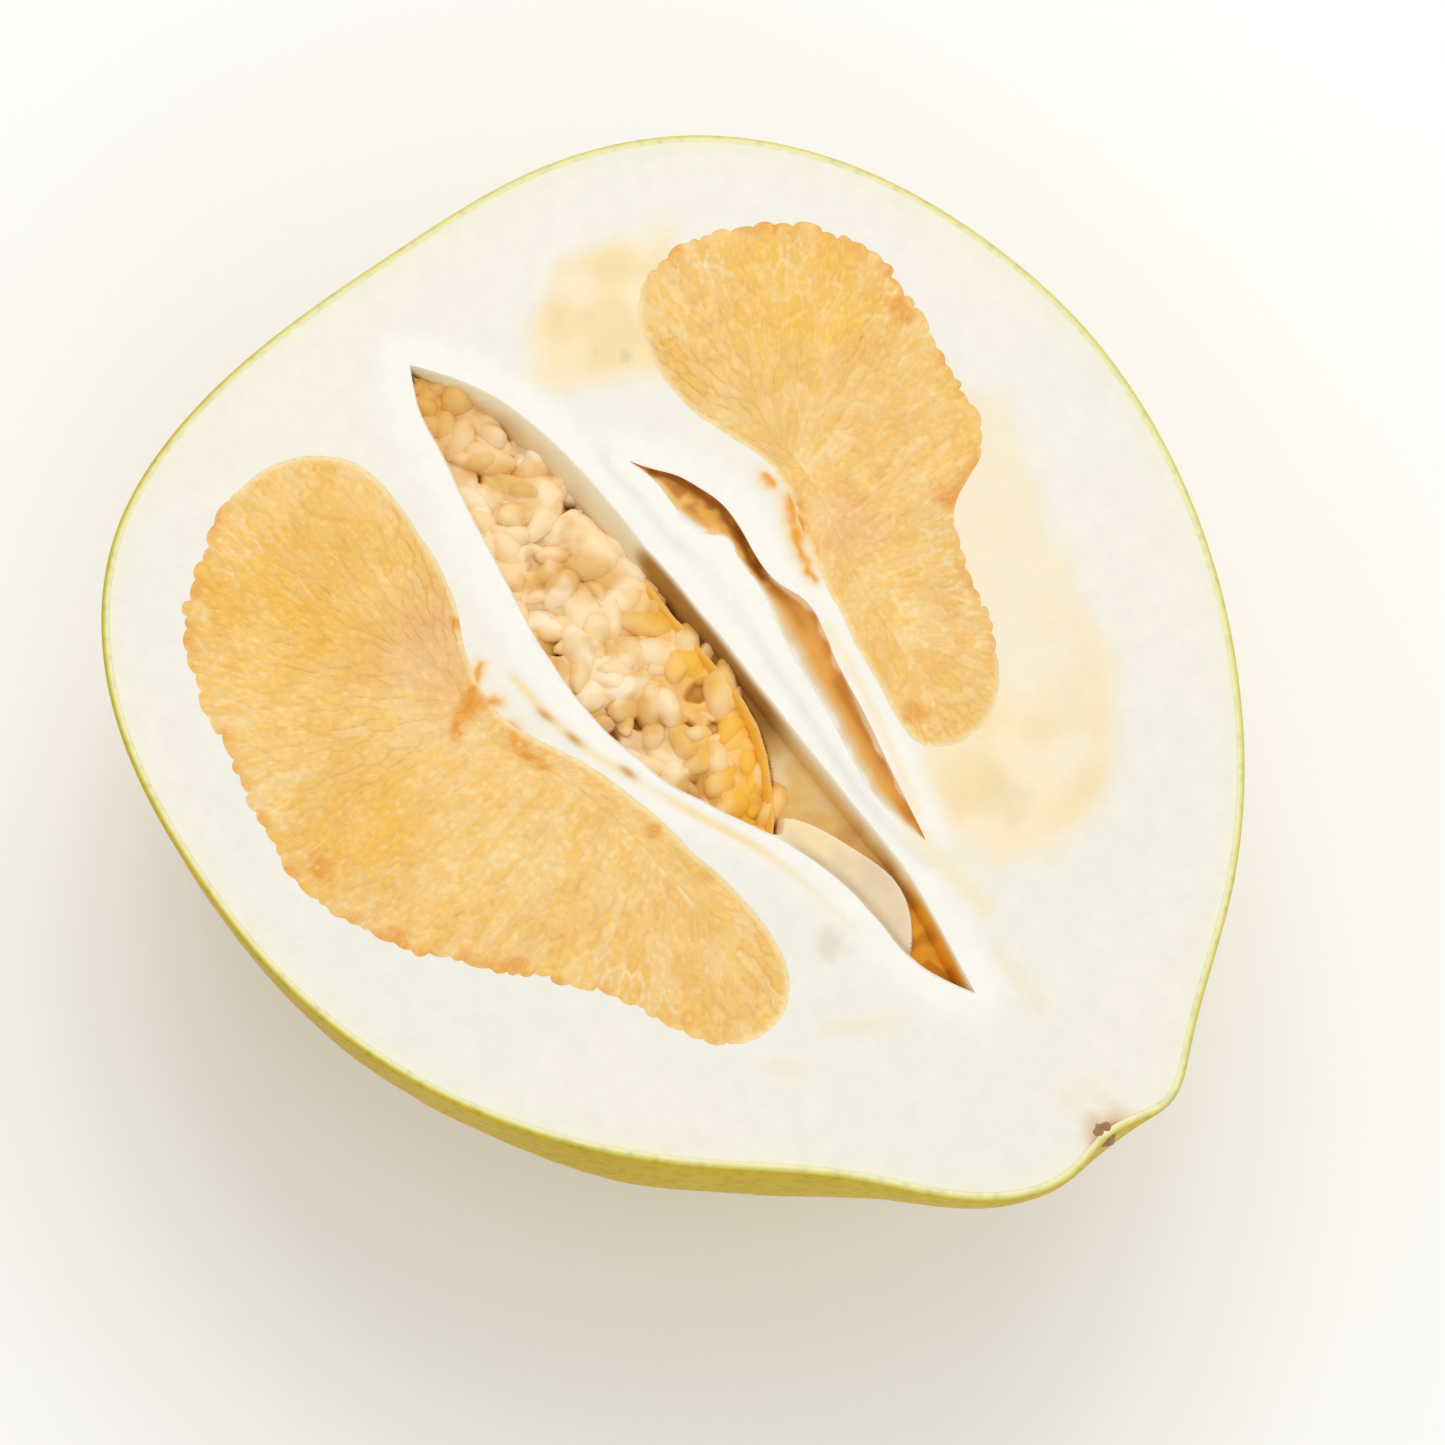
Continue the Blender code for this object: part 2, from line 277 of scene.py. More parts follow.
def reachOf(directions):
    # the two sides of the outline, turned about the stem axis and blended
    x, y, z = directions.T
    fromStem = np.arccos(np.clip(x, -1, 1))
    across = np.hypot(y, z)
    farShare = 0.5 + 0.5 * y / np.maximum(across, 1e-6)
    return farShare * skinAt(fromStem) + (1 - farShare) * skinAt(-fromStem)


turn = np.linspace(0, 2 * math.pi, fruit["roundSteps"], endpoint=False)
roundAngle = turn - 0.35 * np.sin(turn)  # closer together at the stem
rimLoop = np.stack([np.cos(roundAngle), np.sin(roundAngle)], axis=1) * skinAt(roundAngle)[:, None]
rimOut = outwards(rimLoop)


def domeRing(slope, inset, lumps=0.0):
    directions = np.stack([
        np.cos(roundAngle) * math.cos(slope), np.sin(roundAngle) * math.cos(slope),
        np.full(len(roundAngle), -math.sin(slope)),
    ], axis=1)
    fromNear = (roundAngle + math.pi) % (2 * math.pi) - math.pi + math.radians(42)
    sideways = bell(fromNear, math.radians(34))
    swelling = math.sin(min(slope / 0.22, 1) * math.pi / 2) * (1 - ramp(slope, 0.5, 1.2))
    bulge = fruit["bulge"] * sideways * swelling
    reach = reachOf(directions) + bulge - inset
    if lumps:
        at = directions * 80
        rough = 0.6 * softNoise(at, 21, 3) + 0.3 * softNoise(at, 8, 5) + 0.12 * softNoise(at, 3.4, 9) - 1.02
        reach = reach + lumps * rough * ramp(slope, 0.0, 0.12)
    ring = directions * reach[:, None]
    ring[:, 2] = np.maximum(ring[:, 2], -cutHeight + (0 if inset == 0 else inset))
    return ring


def flatRing(loop, height):
    return np.hstack([loop, np.full((len(loop), 1), height)])


# rind: the waxy skin outside and its thin cut edge

rindLook = {
    "shade": "#BC9806",
    "light": "#CBB71F",
    "sun": "#DBA916",
    "edgeGreen": "#C2B52E",
    "edgeCream": "#F4EEBC",
    "glandSpacing": 1.7,  # mm
}
thickness = fruit["skin"]
skinBack = thickness + 0.15  # how far in the rind's inner side lies
firstSlope = 0.006
# rings over the cut edge: how far in, how high, and how much of the edge's colour
edgeRings = [(thickness, -0.07, 1.0), (thickness * 0.6, -0.03, 0.62), (0.3, -0.06, 0.3), (0.1, -0.2, 0.12)]
levels = [flatRing(rimLoop - rimOut * inset, height) for inset, height, _ in edgeRings]
for k in range(fruit["downSteps"]):
    slope = firstSlope + (math.pi / 2 - firstSlope) * (k / fruit["downSteps"])
    levels.append(domeRing(slope, 0.0, fruit["lumps"]))
outerCount = len(levels)
for k in range(1, fruit["innerSteps"] + 1):
    levels.append(domeRing(math.pi / 2 * (1 - k / (fruit["innerSteps"] + 0.5)), skinBack))
edgeShare = [share for _, _, share in edgeRings] + [0.0] * fruit["downSteps"] + [1.0] * fruit["innerSteps"]
count = fruit["roundSteps"]
rings = [np.arange(count) + k * count for k in range(len(levels))]
faces = []
for k in range(outerCount - 1):
    faces += ringFaces(rings[k], rings[k + 1])
for k in range(outerCount, len(levels) - 1):
    faces += ringFaces(rings[k], rings[k + 1])
faces += ringFaces(rings[-1], rings[0])
places = np.vstack(levels + [[[0, 0, -cutHeight], [0, 0, -cutHeight + skinBack]]])
for ring, pole in ((rings[outerCount - 1], len(places) - 2), (rings[outerCount], len(places) - 1)):
    faces += np.stack([ring, np.roll(ring, -1), np.full(count, pole)], axis=1).tolist()
edge = np.concatenate([np.repeat(edgeShare, count), [0, 1]])
angle = np.arctan2(places[:, 1], places[:, 0])
nearSide = 0.5 - 0.5 * np.cos(angle - math.radians(65))  # the near side, which gets painted shade below the cut edge
tint = np.tile(linear(rindLook["light"]), (len(places), 1))
tint = layered(tint, [
    # painted shade: the near side darker from the cut edge downwards
    (rindLook["shade"], nearSide * ramp(-places[:, 2], -7, 3) * 0.9),
    (rindLook["sun"], (1 - nearSide) * ramp(-places[:, 2], 5, 50) * 0.7),
    (rindLook["edgeGreen"], ramp(edge, 0.0, 0.2)),
    # painted light: a paler cut edge on the far side
    ("#E2DE8C", ramp(edge, 0.0, 0.2) * ramp(-nearSide, -0.9, -0.7) * 0.7),
    (rindLook["edgeCream"], ramp(edge, 0.2, 0.8)),
])

rindFinish, tree = newFinish("waxy citrus rind")  # grown, waxy skin: pitted by oil glands, a broad soft gloss
where = addNode(tree, "ShaderNodeTexCoord").outputs["Object"]
tintNode = addNode(tree, "ShaderNodeAttribute", attribute_name="tint")
edgeNode = addNode(tree, "ShaderNodeAttribute", attribute_name="edge")
glands = addNode(
    tree, "ShaderNodeTexVoronoi",
    {"Vector": where, "Scale": 1000 / rindLook["glandSpacing"], "Randomness": 0.85}, feature="SMOOTH_F1"
)
fineGlands = addNode(
    tree, "ShaderNodeTexVoronoi", {"Vector": where, "Scale": 1000 / (rindLook["glandSpacing"] * 0.5)},
    feature="F1"
)
broad = addNode(tree, "ShaderNodeTexNoise", {"Vector": where, "Scale": 1000 / 16, "Detail": 4.0})
blotch = addNode(
    tree, "ShaderNodeMapRange",
    {"Value": broad.outputs["Fac"], "From Min": 0.35, "From Max": 0.7, "To Min": 0.0, "To Max": 0.35}
).outputs[0]
blotched = addNode(
    tree, "ShaderNodeMix", {"Factor": blotch, "A": tintNode.outputs["Color"], "B": "#D9B93C"}, data_type="RGBA"
).outputs[2]
onEdge = addNode(
    tree, "ShaderNodeMix", {"Factor": edgeNode.outputs["Fac"], "A": blotched, "B": tintNode.outputs["Color"]},
    data_type="RGBA"
).outputs[2]
pit = addNode(
    tree, "ShaderNodeMapRange",
    {"Value": glands.outputs["Distance"], "From Min": 0.05, "From Max": 0.45, "To Min": 0.86, "To Max": 1.04}
).outputs[0]
shaded = addNode(
    tree, "ShaderNodeMix", {"Factor": 1.0, "A": onEdge, "B": pit}, data_type="RGBA", blend_type="MULTIPLY"
).outputs[2]
heightSum = addNode(
    tree, "ShaderNodeMath", {0: fineGlands.outputs["Distance"], 1: 0.35, 2: glands.outputs["Distance"]},
    operation="MULTIPLY_ADD"
).outputs[0]
skinOnly = addNode(
    tree, "ShaderNodeMath", {0: 1.0, 1: edgeNode.outputs["Fac"]}, operation="SUBTRACT"
).outputs[0]
relief = addNode(tree, "ShaderNodeMath", {0: heightSum, 1: skinOnly}, operation="MULTIPLY").outputs[0]
bump = addNode(tree, "ShaderNodeBump", {"Height": relief, "Strength": 0.55, "Distance": 0.0007}).outputs[0]
shader = addNode(tree, "ShaderNodeBsdfPrincipled", {
    "Base Color": shaded, "Roughness": 0.45, "Normal": bump, "IOR": 1.45,
    "Specular IOR Level": 0.14, "Coat Weight": 0.03, "Coat Roughness": 0.3,
})
addNode(tree, "ShaderNodeOutputMaterial", {"Surface": shader.outputs[0]})
rind = makePiece("rind_skin", places, faces, [rindFinish], tint=tint, extras={"edge": edge})
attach(rind, "root")
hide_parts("rind")
print("rind:", len(faces), "faces")


# the outlines of what lies in the cut

bigPulp = {
    "outline": [
        (-62, -16.5), (-50, -16), (-39, -18.5), (-28, -24), (-21, -25.5), (-8, -21.5), (12, -18.5), (28, -18.5),
        (37.5, -24.5), (36.5, -32), (24, -39), (7, -50), (-9, -60), (-24, -62.5), (-42, -57.5), (-57, -52),
        (-66, -40), (-69, -27),
    ],
    "depth": 30.0,
    "steps": 600,
    "rows": 84,
    "roots": [(-27, -27.2), (-22, -28.8), (-10, -25.6), (4, -23.2), (20, -23.4)],
    "rootReach": [(-69, -27), (-24, -22), (37, 20)],  # which root a place on the rim runs back to, by x
    "sacWidth": 1.7,
    "sacLength": 5.0,
    "raggedFrom": -30,  # y below which the edge is ragged with sac ends
    "calm": (-8, -21.5),  # where the rim turns inwards and stays smooth
    "seed": 11,
}
smallPulp = {
    "outline": [
        (-53, 31), (-55, 38), (-52.5, 47.5), (-44, 57.5), (-31, 61), (-17, 57.5), (-4, 52.5), (-0.5, 44),
        (8.5, 38.5), (19, 34), (25.5, 25.5), (23, 17), (13.5, 17.2), (-4, 22), (-13, 25.5), (-22, 28),
        (-34, 25.5), (-46, 26.5),
    ],
    "depth": 27.0,
    "steps": 520,
    "rows": 74,
    "roots": [(-24, 31.4), (-16, 30.6), (-6, 27.4), (6, 24.4), (13, 23)],
    "rootReach": [(-55, -24), (-18, -17), (26, 13)],
    "sacWidth": 1.6,
    "sacLength": 4.6,
    "raggedFrom": 30,
    "calm": (-1.5, 46.5),
    "seed": 23,
}
core = {
    "far": [
        (-67, -0.6), (-60.5, 3.5), (-54.1, 5.9), (-46.4, 7.1), (-37.7, 7.4), (-28, 6.9), (-18.4, 6.4),
        (-8.8, 5.8), (-0.9, 5.2), (7.4, 4.4), (16.7, 3.6), (25.4, 3.0), (34.2, 2.2), (42.6, 0.3), (53.2, -2.6),
    ],
    "near": [
        (-67, -0.6), (-61.3, -4.2), (-55.9, -5.8), (-49.3, -7.7), (-43.3, -9.5), (-36.4, -11.4), (-28.4, -13.6),
        (-22.7, -14.9), (-16.9, -15.8), (-10.4, -16.1), (-3.9, -15.6), (2.6, -14.5), (7.7, -12.8),
        (12.8, -10.8), (18.5, -8.4), (25.8, -6.4), (31.6, -5.7), (36.4, -5.8), (40.4, -6.1), (45.2, -5.9),
        (53.2, -2.6),
    ],
    "steps": 300,
    "floorRows": 52,
    "sacTip": [
        (-26.6, 5.0), (-17.8, 3.6), (-9.9, 3.0), (-2.9, 2.6), (2.3, 1.9), (7.3, 0.0), (12.1, -3.1),
        (16.1, -6.2), (18.6, -9.2)
    ],
    "flapEdge": [
        (15.5, -6.6), (18.0, -4.2), (21, -2.6), (24.4, -1.4), (28, -0.4), (31.5, 0.4), (34.9, 0.3), (38, -0.8),
        (40.6, -2.6), (42.4, -4.4), (43.9, -6.6)
    ],
    "basin": 8.0,
    "crescent": 4.4,
    "hole": 4.6,
}
slit = {
    "far": [
        (-35.9, 13.3), (-32.9, 15), (-29.9, 17), (-26.5, 18.2), (-22.8, 19), (-20.3, 18.9), (-16.4, 18.1),
        (-11.7, 17.1), (-8.2, 17.3), (-5.3, 18.2), (4.3, 15.9), (12.5, 13.6), (20.9, 10.9), (28.9, 8.4),
        (32.5, 7.2)
    ],
    "near": [
        (-35.9, 13.3), (-31.8, 14.1), (-27, 13.6), (-23, 13.5), (-20.3, 14.6), (-18.7, 15.9), (-15.1, 15.3),
        (-11.3, 14.9), (-3.1, 12.4), (6.1, 10.2), (14.5, 8.1), (23.8, 6.1), (32.5, 7.2)
    ],
    "dark": [
        (-32.8, 14.5), (-29.5, 16.8), (-26.1, 17.8), (-22.8, 18.4), (-20, 18.2), (-16.5, 17.4), (-13.4, 16.5),
        (-11.1, 16)
    ],
    "brown": [
        (-8.7, 16.1), (-5.9, 16.5), (-1.8, 15.7), (3.2, 14.4), (8.7, 13.2), (15.3, 11.8), (22, 9.8), (28.7, 7.9)
    ],
    "steps": 220,
    "depth": 2.1,
}


def raggedLoop(segment):
    # the outline with the ends of its sacs standing out along the far edge from the hilum
    draw = np.random.default_rng(segment["seed"])
    loop = smoothCurve(segment["outline"], segment["steps"], True)[::-1] - middle
    spacing = np.linalg.norm(np.roll(loop, -1, axis=0) - loop, axis=1)
    travel = np.concatenate([[0], np.cumsum(spacing)[:-1]])
    ends = [0.0]
    while ends[-1] < spacing.sum() - 4.2:
        ends.append(ends[-1] + draw.uniform(1.5, 4.2))
    ends = np.array(ends + [spacing.sum()])
    sac = np.searchsorted(ends, travel, side="right") - 1
    share = (travel - ends[sac]) / (ends[sac + 1] - ends[sac])
    push = draw.uniform(-0.45, 0.65, len(ends))[sac]
    swell = np.sin(math.pi * np.clip(share, 0, 1)) ** 0.6
    y = loop[:, 1] + middle[1]
    way = -1 if segment is bigPulp else 1
    ragged = ramp(way * y, way * segment["raggedFrom"], way * segment["raggedFrom"] + 6)
    wander = 0.25 * softNoise(loop, 4.0, segment["seed"])
    stand = (0.12 + 0.88 * ragged) * (push + 0.75 * (swell - 0.6)) * 0.75 + wander
    gap = np.linalg.norm(loop + middle - segment["calm"], axis=1)
    stand = stand * (1 - np.exp(-(gap / 7) ** 4))
    return loop + outwards(loop) * stand[:, None], ragged


def lensEdges(lens):
    return (
        smoothCurve(lens["near"], lens["steps"] + 1) - middle,
        smoothCurve(lens["far"], lens["steps"] + 1) - middle
    )


bigLoop, bigRagged = raggedLoop(bigPulp)
smallLoop, smallRagged = raggedLoop(smallPulp)
coreNear, coreFar = lensEdges(core)
slitNear, slitFar = lensEdges(slit)
wobble = np.sin(np.linspace(0, math.pi, len(coreNear)))
coreNear = coreNear + (wobble * 0.18 * softNoise(coreNear, 3.1, 41))[:, None] * (0, 1)
coreFar = coreFar + (wobble * 0.15 * softNoise(coreFar, 4.3, 43))[:, None] * (0, 1)
coreLoop = np.vstack([coreNear[:-1], coreFar[:0:-1]])
slitLoop = np.vstack([slitNear[:-1], slitFar[:0:-1]])
sacTip = smoothCurve(core["sacTip"], 60) - middle
flapEdge = smoothCurve(core["flapEdge"], 50) - middle


# pith: the white spongy body, its cut face and the walls of the open spaces

pithLook = {
    "white": "#F5F0E2",
    "cool": "#F2EEE2",
    "septum": "#FAF6EC",
    "cream": "#FDEAC2",
    "creamDeep": "#F6DCA4",
    "rimCream": "#F5F1D2",
    "wallPale": "#F3E3C0",
    "wallBeige": "#E2C48C",
    "wallShadeOchre": "#C08C42",
    "crescent": "#E4BC72",
    "flap": "#F7DFB0",
    "hole": "#F2B233",
    # painted shade for the dark gap along the wall beyond the sacs
    "gap": "#A06C22",
    "slitShadow": "#96540C",
    "slitOrange": "#E8A544",
    "faceSpacing": 0.78,
    "creamPatches": [
        [(-53.6, 11.7), (-59.8, 17.0), (-63.0, 24.9), (-62.2, 33.4), (-57.8, 40.1), (-53.6, 36.2), (-50.2, 31.2),
         (-47.8, 29.1), (-42.6, 27.1), (-46.2, 20.2), (-49.5, 15.5)],
        [(-12.2, 56.0), (-6.8, 59.7), (0.7, 57.7), (10.7, 51.5), (20.9, 49.0), (30.9, 44.4), (39.5, 38.3),
         (45.5, 29.3), (45.8, 19.9), (41.8, 12.7), (34.0, 9.2), (24.8, 11.7), (22.4, 17.4), (23.8, 24.5),
         (20.1, 30.9), (14.6, 33.2), (5.9, 37.4), (-1.6, 40.8), (-5.4, 46.9), (-7.2, 51.0)],
    ],
    "greySpots": [
        ((35.7, 19.9), 5.5, 0.22), ((34.6, -12.7), 3.4, 0.42), ((-51.2, 20.8), 1.1, 0.5),
        ((-47.9, 23.6), 1.2, 0.6)
    ],
    "dashes": [(-16.2, -20.8), (-11.0, -20.1), (-2.4, -17.6)],
    "lines": [
        [
            (-23, -20.5), (-14.4, -20.4), (-6.4, -19.2), (1.5, -16.9), (9.1, -14.4), (16.1, -11.9),
            (21.3, -10.6), (28.9, -9.7), (35.3, -9.1)
        ],
    ],
    "stains": [
        ([(-21.4, 26.3), (-20.2, 26.6)], 1.0),
        ([(-16.8, 27), (-15.1, 25.8), (-13.1, 24.5)], 1.3),
        ([(-12.7, 24.1), (-10.4, 23), (-8.5, 22)], 1.1),
        ([(-7.6, 21.7), (-5.6, 21.2)], 0.8),
        ([(-27.6, -22.9), (-26.5, -24.3), (-25.7, -26.1)], 0.9),
        ([(-23.9, -28.1), (-23.2, -26.6), (-22.2, -24.6)], 1.1),
        ([(-17.9, -25.5), (-16.1, -26.1), (-13.6, -26.5)], 1.2),
    ],
    "streaks": [
        ([(29.6, 7), (34.3, 6.8), (39.3, 7), (45, 7)], 1.5),
        ([(0.3, 18), (10.7, 15.5), (19.7, 12.6), (28.6, 9.1)], 0.8)
    ],
    "creases": [
        [(51, 4), (56.1, 3.5), (60.9, 3)], [(42.8, -21.9), (45.5, -18.5), (48.5, -14.4)],
        [(42.1, -30.9), (44.4, -29.1)], [(72.5, -3), (78.8, -3.5)], [(73.8, 0.5), (79, 0)]
    ],
}


def coreDepth(places):
    # how far below the cut the floor of the open core lies
    x = places[:, 0] + middle[0]
    tipDistance, tipSide, _ = lineField(places, sacTip)
    flapDistance, flapSide, _ = lineField(places, flapEdge)
    pastSacs = ramp(tipDistance * tipSide, -0.15, 0.5) * ramp(x, -27, -23)
    onFlap = ramp(-flapDistance * flapSide, -0.3, 0.3) * ramp(x, 14.5, 17.5)
    onFlap = onFlap * ramp(tipDistance * tipSide, 0.2, 1.0)
    toHole = ramp(x, 33, 40)
    bare = core["crescent"] + (core["hole"] - core["crescent"]) * toHole
    bare = bare + 0.5 * softNoise(places, 5, 51) + 0.25 * softNoise(places, 1.7, 52)
    fromNear = np.clip(places[:, 1] + middle[1] + 6.5, 0, 7)
    shelf = 0.45 + 0.13 * fromNear + 0.12 * softNoise(places, 3, 53)
    depth = core["basin"] + (bare - core["basin"]) * pastSacs
    depth = depth + (shelf - depth) * onFlap
    return depth, pastSacs, onFlap, toHole


nearRows = [
    (0.0, 0.0), (0.14, 0.012), (0.28, 0.05), (0.42, 0.14), (0.52, 0.3), (0.6, 0.48), (0.68, 0.66), (0.8, 0.84),
    (1.0, 0.96), (1.25, 1.0)
]
farRows = [
    (0.0, 0.0), (0.2, 0.012), (0.5, 0.045), (0.85, 0.1), (1.25, 0.18), (1.65, 0.28), (2.05, 0.39), (2.45, 0.52),
    (2.85, 0.67), (3.25, 0.84), (3.6, 1.0)
]
across = coreFar - coreNear
width = np.linalg.norm(across, axis=1)
direction = across / np.maximum(width, 1e-6)[:, None]
nearSqueeze = np.minimum(1.0, 0.3 * width / nearRows[-1][0])
farSqueeze = np.minimum(1 - 0.62 * ramp(coreFar[:, 0] + middle[0], -24, -6), 0.45 * width / farRows[-1][0])
corePlaces = []
nearFoot = coreNear + direction * (nearSqueeze * nearRows[-1][0])[:, None]
farFoot = coreFar - direction * (farSqueeze * farRows[-1][0])[:, None]
nearDepth, farDepth = coreDepth(nearFoot)[0], coreDepth(farFoot)[0]
for inset, share in nearRows[1:]:
    place = coreNear + direction * (nearSqueeze * inset)[:, None]
    corePlaces.append(np.hstack([place, -(nearDepth * share)[:, None]]))
for row in range(1, core["floorRows"]):
    place = nearFoot + (farFoot - nearFoot) * row / core["floorRows"]
    corePlaces.append(np.hstack([place, -coreDepth(place)[0][:, None]]))
for inset, share in farRows[:0:-1]:
    place = coreFar - direction * (farSqueeze * inset)[:, None]
    corePlaces.append(np.hstack([place, -(farDepth * share)[:, None]]))

# points over the face, kept off the loops, then joined into one net of triangles
pithLoop = rimLoop - rimOut * (thickness + 0.02)
step = pithLook["faceSpacing"]
rowsUp = np.arange(-78, 78, step * math.sqrt(3) / 2)
field = np.array([(x + (k % 2) * step / 2, y) for k, y in enumerate(rowsUp) for x in np.arange(-86, 86, step)])
marked = [smoothCurve(line, 60) for line in pithLook["lines"]] + [
    smoothCurve(line, 16) for line, width in pithLook["stains"]
]
marked = np.vstack(marked + [pithLook["dashes"]]) - middle
fine = np.array([(x, y) for x in np.arange(-40, 84, 0.36) for y in np.arange(-31, 31, 0.36)])
fine = fine[[np.hypot(*(marked - place).T).min() < 1.3 for place in fine]]
field = field[[np.hypot(*(fine - place).T).min() > 0.4 for place in field]]
field = np.vstack([field, fine])
keep = isInside(field, pithLoop)
loops = [pithLoop, bigLoop, smallLoop, coreLoop, slitLoop]
for loop in loops[1:]:
    keep &= ~isInside(field, loop)
field = field[keep]
for loop in loops:
    field = field[lineField(field, loop[::2], True)[0] > 0.3]
points = np.vstack(loops + [field])
starts = np.cumsum([0] + [len(loop) for loop in loops])
edges = []
for first, loop in zip(starts, loops):
    edges += [(first + i, first + (i + 1) % len(loop)) for i in range(len(loop))]
net = delaunay_2d_cdt([Vector(p) for p in points], edges, [], 0, 1e-7)
points = np.array([tuple(p) for p in net[0]])
triangles = np.array([face for face in net[2] if len(face) == 3])
heart = points[triangles].mean(axis=1)
keep = isInside(heart, pithLoop)
for loop in loops[1:]:
    keep &= ~isInside(heart, loop)
triangles = triangles[keep]
origin = {source: new for new, sources in enumerate(net[3]) for source in sources}
loopIds = [np.array([origin[first + i] for i in range(len(loop))]) for first, loop in zip(starts, loops)]
print("pith face:", len(points), "points,", len(triangles), "triangles")

swell = 0.10 * softNoise(points, 17, 61) + 0.05 * softNoise(points, 5.5, 63)
swell = swell + 0.02 * softNoise(points, 1.9, 65) - 0.19
nearCore = np.minimum(lineField(points, coreLoop, True)[0], lineField(points, slitLoop, True)[0])
swell = swell + 0.1 * np.exp(-nearCore / 1.6) - 0.12 * bell(nearCore, 0.35)
swell = swell * ramp(lineField(points, pithLoop, True)[0], 0.0, 2.0) - 0.06
heights = np.minimum(swell, -0.01)
facePlaces = np.hstack([points, heights[:, None]])

faceTint = np.tile(linear(pithLook["white"]), (len(points), 1))
faceTint = mixIn(faceTint, pithLook["cool"], 0.5 + 0.5 * softNoise(points, 26, 71))
featurePoints = points + middle
toRim = lineField(points, pithLoop, True)[0]
faceTint = mixIn(faceTint, pithLook["rimCream"], np.exp(-toRim / 0.9) * 0.8)
for loop, deep in zip(pithLook["creamPatches"], (0.85, 0.3)):
    mask = patch(featurePoints + 1.2 * drift(points, 4, 73), np.array(loop), 3.0)
    mask = mask * (1 - 0.4 * ramp(featurePoints[:, 1], 24, 36) * ramp(featurePoints[:, 0], -20, -10))
    faceTint = mixIn(faceTint, pithLook["cream"], mask * (0.85 + 0.15 * softNoise(points, 3, 75)))
    faceTint = mixIn(
        faceTint, pithLook["creamDeep"],
        mask * (deep + 0.5 * ramp(featurePoints[:, 0], 18, 38)) * ramp(softNoise(points, 6, 76), -1.1, 0.5)
    )
for centre, radius, strength in pithLook["greySpots"]:
    distance = np.linalg.norm(featurePoints - centre, axis=1)
    faceTint = mixIn(
        faceTint, "#D8C8A4", strength * ramp(-distance / radius + 0.25 * softNoise(points, 1.6, 77), -1, -0.2)
    )
septumBand = ramp(-nearCore, -6.5, -2.0)
faceTint = mixIn(faceTint, pithLook["septum"], septumBand * 0.9)
betweenBoth = np.abs(lineField(points, coreLoop[::2], True)[0] - lineField(points, slitLoop[::2], True)[0])
faceTint = mixIn(faceTint, "#ECE6D8", bell(betweenBoth, 1.6) * ramp(-nearCore, -4.5, -3.0) * 0.7)
for line in pithLook["lines"]:
    distance, side, _ = lineField(featurePoints, smoothCurve(line, 60))
    faceTint = mixIn(
        faceTint, "#F9DFA8", bell(distance, 0.75) * 0.95 * ramp(softNoise(points, 7, 69), -1.0, 0.4)
    )
    facePlaces[:, 2] -= 0.12 * bell(distance, 0.5)
for line, width in pithLook["stains"]:
    distance = lineField(featurePoints + 0.4 * drift(points, 1.1, 67), smoothCurve(line, 16))[0]
    faceTint = mixIn(faceTint, "#F8D592", bell(distance, width * 1.3) * 0.8)
    faceTint = mixIn(faceTint, "#EE9E22", bell(distance, width * 0.62) * 0.95)
for line, width in pithLook["streaks"]:
    distance = lineField(featurePoints, smoothCurve(line, 30))[0]
    faceTint = mixIn(faceTint, "#FAE8BC", bell(distance, width) * 0.7)
for centre in pithLook["dashes"]:
    gap = (featurePoints - centre) @ np.array([[0.98, -0.2], [0.2, 0.98]])
    faceTint = mixIn(faceTint, "#D09840", np.exp(-((gap[:, 0] / 1.5) ** 2 + (gap[:, 1] / 0.55) ** 2)) * 0.95)
for line in pithLook["creases"]:
    distance = lineField(featurePoints, smoothCurve(line, 20))[0]
    faceTint = mixIn(faceTint, "#F2E6C8", bell(distance, 1.2) * 0.6)
    facePlaces[:, 2] -= 0.05 * bell(distance, 0.7)
scarDistance = np.linalg.norm((featurePoints - (81.5, -2.5)) * (0.8, 0.8), axis=1)
faceTint = mixIn(faceTint, "#D9B48E", ramp(-scarDistance + 0.7 * softNoise(points, 1.2, 79), -4.8, -1.6) * 0.85)
faceTint = mixIn(faceTint, "#A87650", ramp(-scarDistance + 0.7 * softNoise(points, 0.9, 78), -2.6, -1.4) * 0.8)

pithPlaces = [facePlaces]
pithTints = [faceTint]
pithFaces = triangles.tolist()
total = len(points)


def addRing(ring, tints):
    global total
    pithPlaces.append(ring)
    pithTints.append(tints)
    total += len(ring)
    return np.arange(total - len(ring), total)


def plainTint(name, count):
    return np.tile(linear(pithLook[name]), (count, 1))


pithInset = thickness + 0.4
previous = loopIds[0]
for k in range(1, fruit["innerSteps"] + 1):
    ring = domeRing(math.pi / 2 * k / (fruit["innerSteps"] + 0.5), pithInset)
    current = addRing(ring, plainTint("white", count))
    pithFaces += ringFaces(previous, current)
    previous = current
pole = addRing(np.array([[0, 0, -cutHeight + pithInset]]), plainTint("white", 1))[0]
pithFaces += np.stack([previous, np.roll(previous, -1), np.full(count, pole)], axis=1).tolist()

bowl = {"shares": [0.3, 0.55, 0.8, 1.0], "sizes": [0.96, 0.86, 0.68, 0.4]}
for segment, loop, ids in ((bigPulp, bigLoop, loopIds[1]), (smallPulp, smallLoop, loopIds[2])):
    previous = ids
    depth = segment["depth"] + 0.5  # the hollow is a little deeper than the segment
    heart = loop.mean(axis=0)
    for share, size in [(0.012, 1.0)] + list(zip(bowl["shares"], bowl["sizes"])):
        current = addRing(
            flatRing(
                heart + (loop - heart) * size + outwards(loop) * (0.5 if share > 0.02 else 0.02), -depth * share
            ),
            plainTint("white", len(loop))
        )
        pithFaces += ringFaces(previous, current)
        previous = current
    pithFaces.append(previous.tolist())


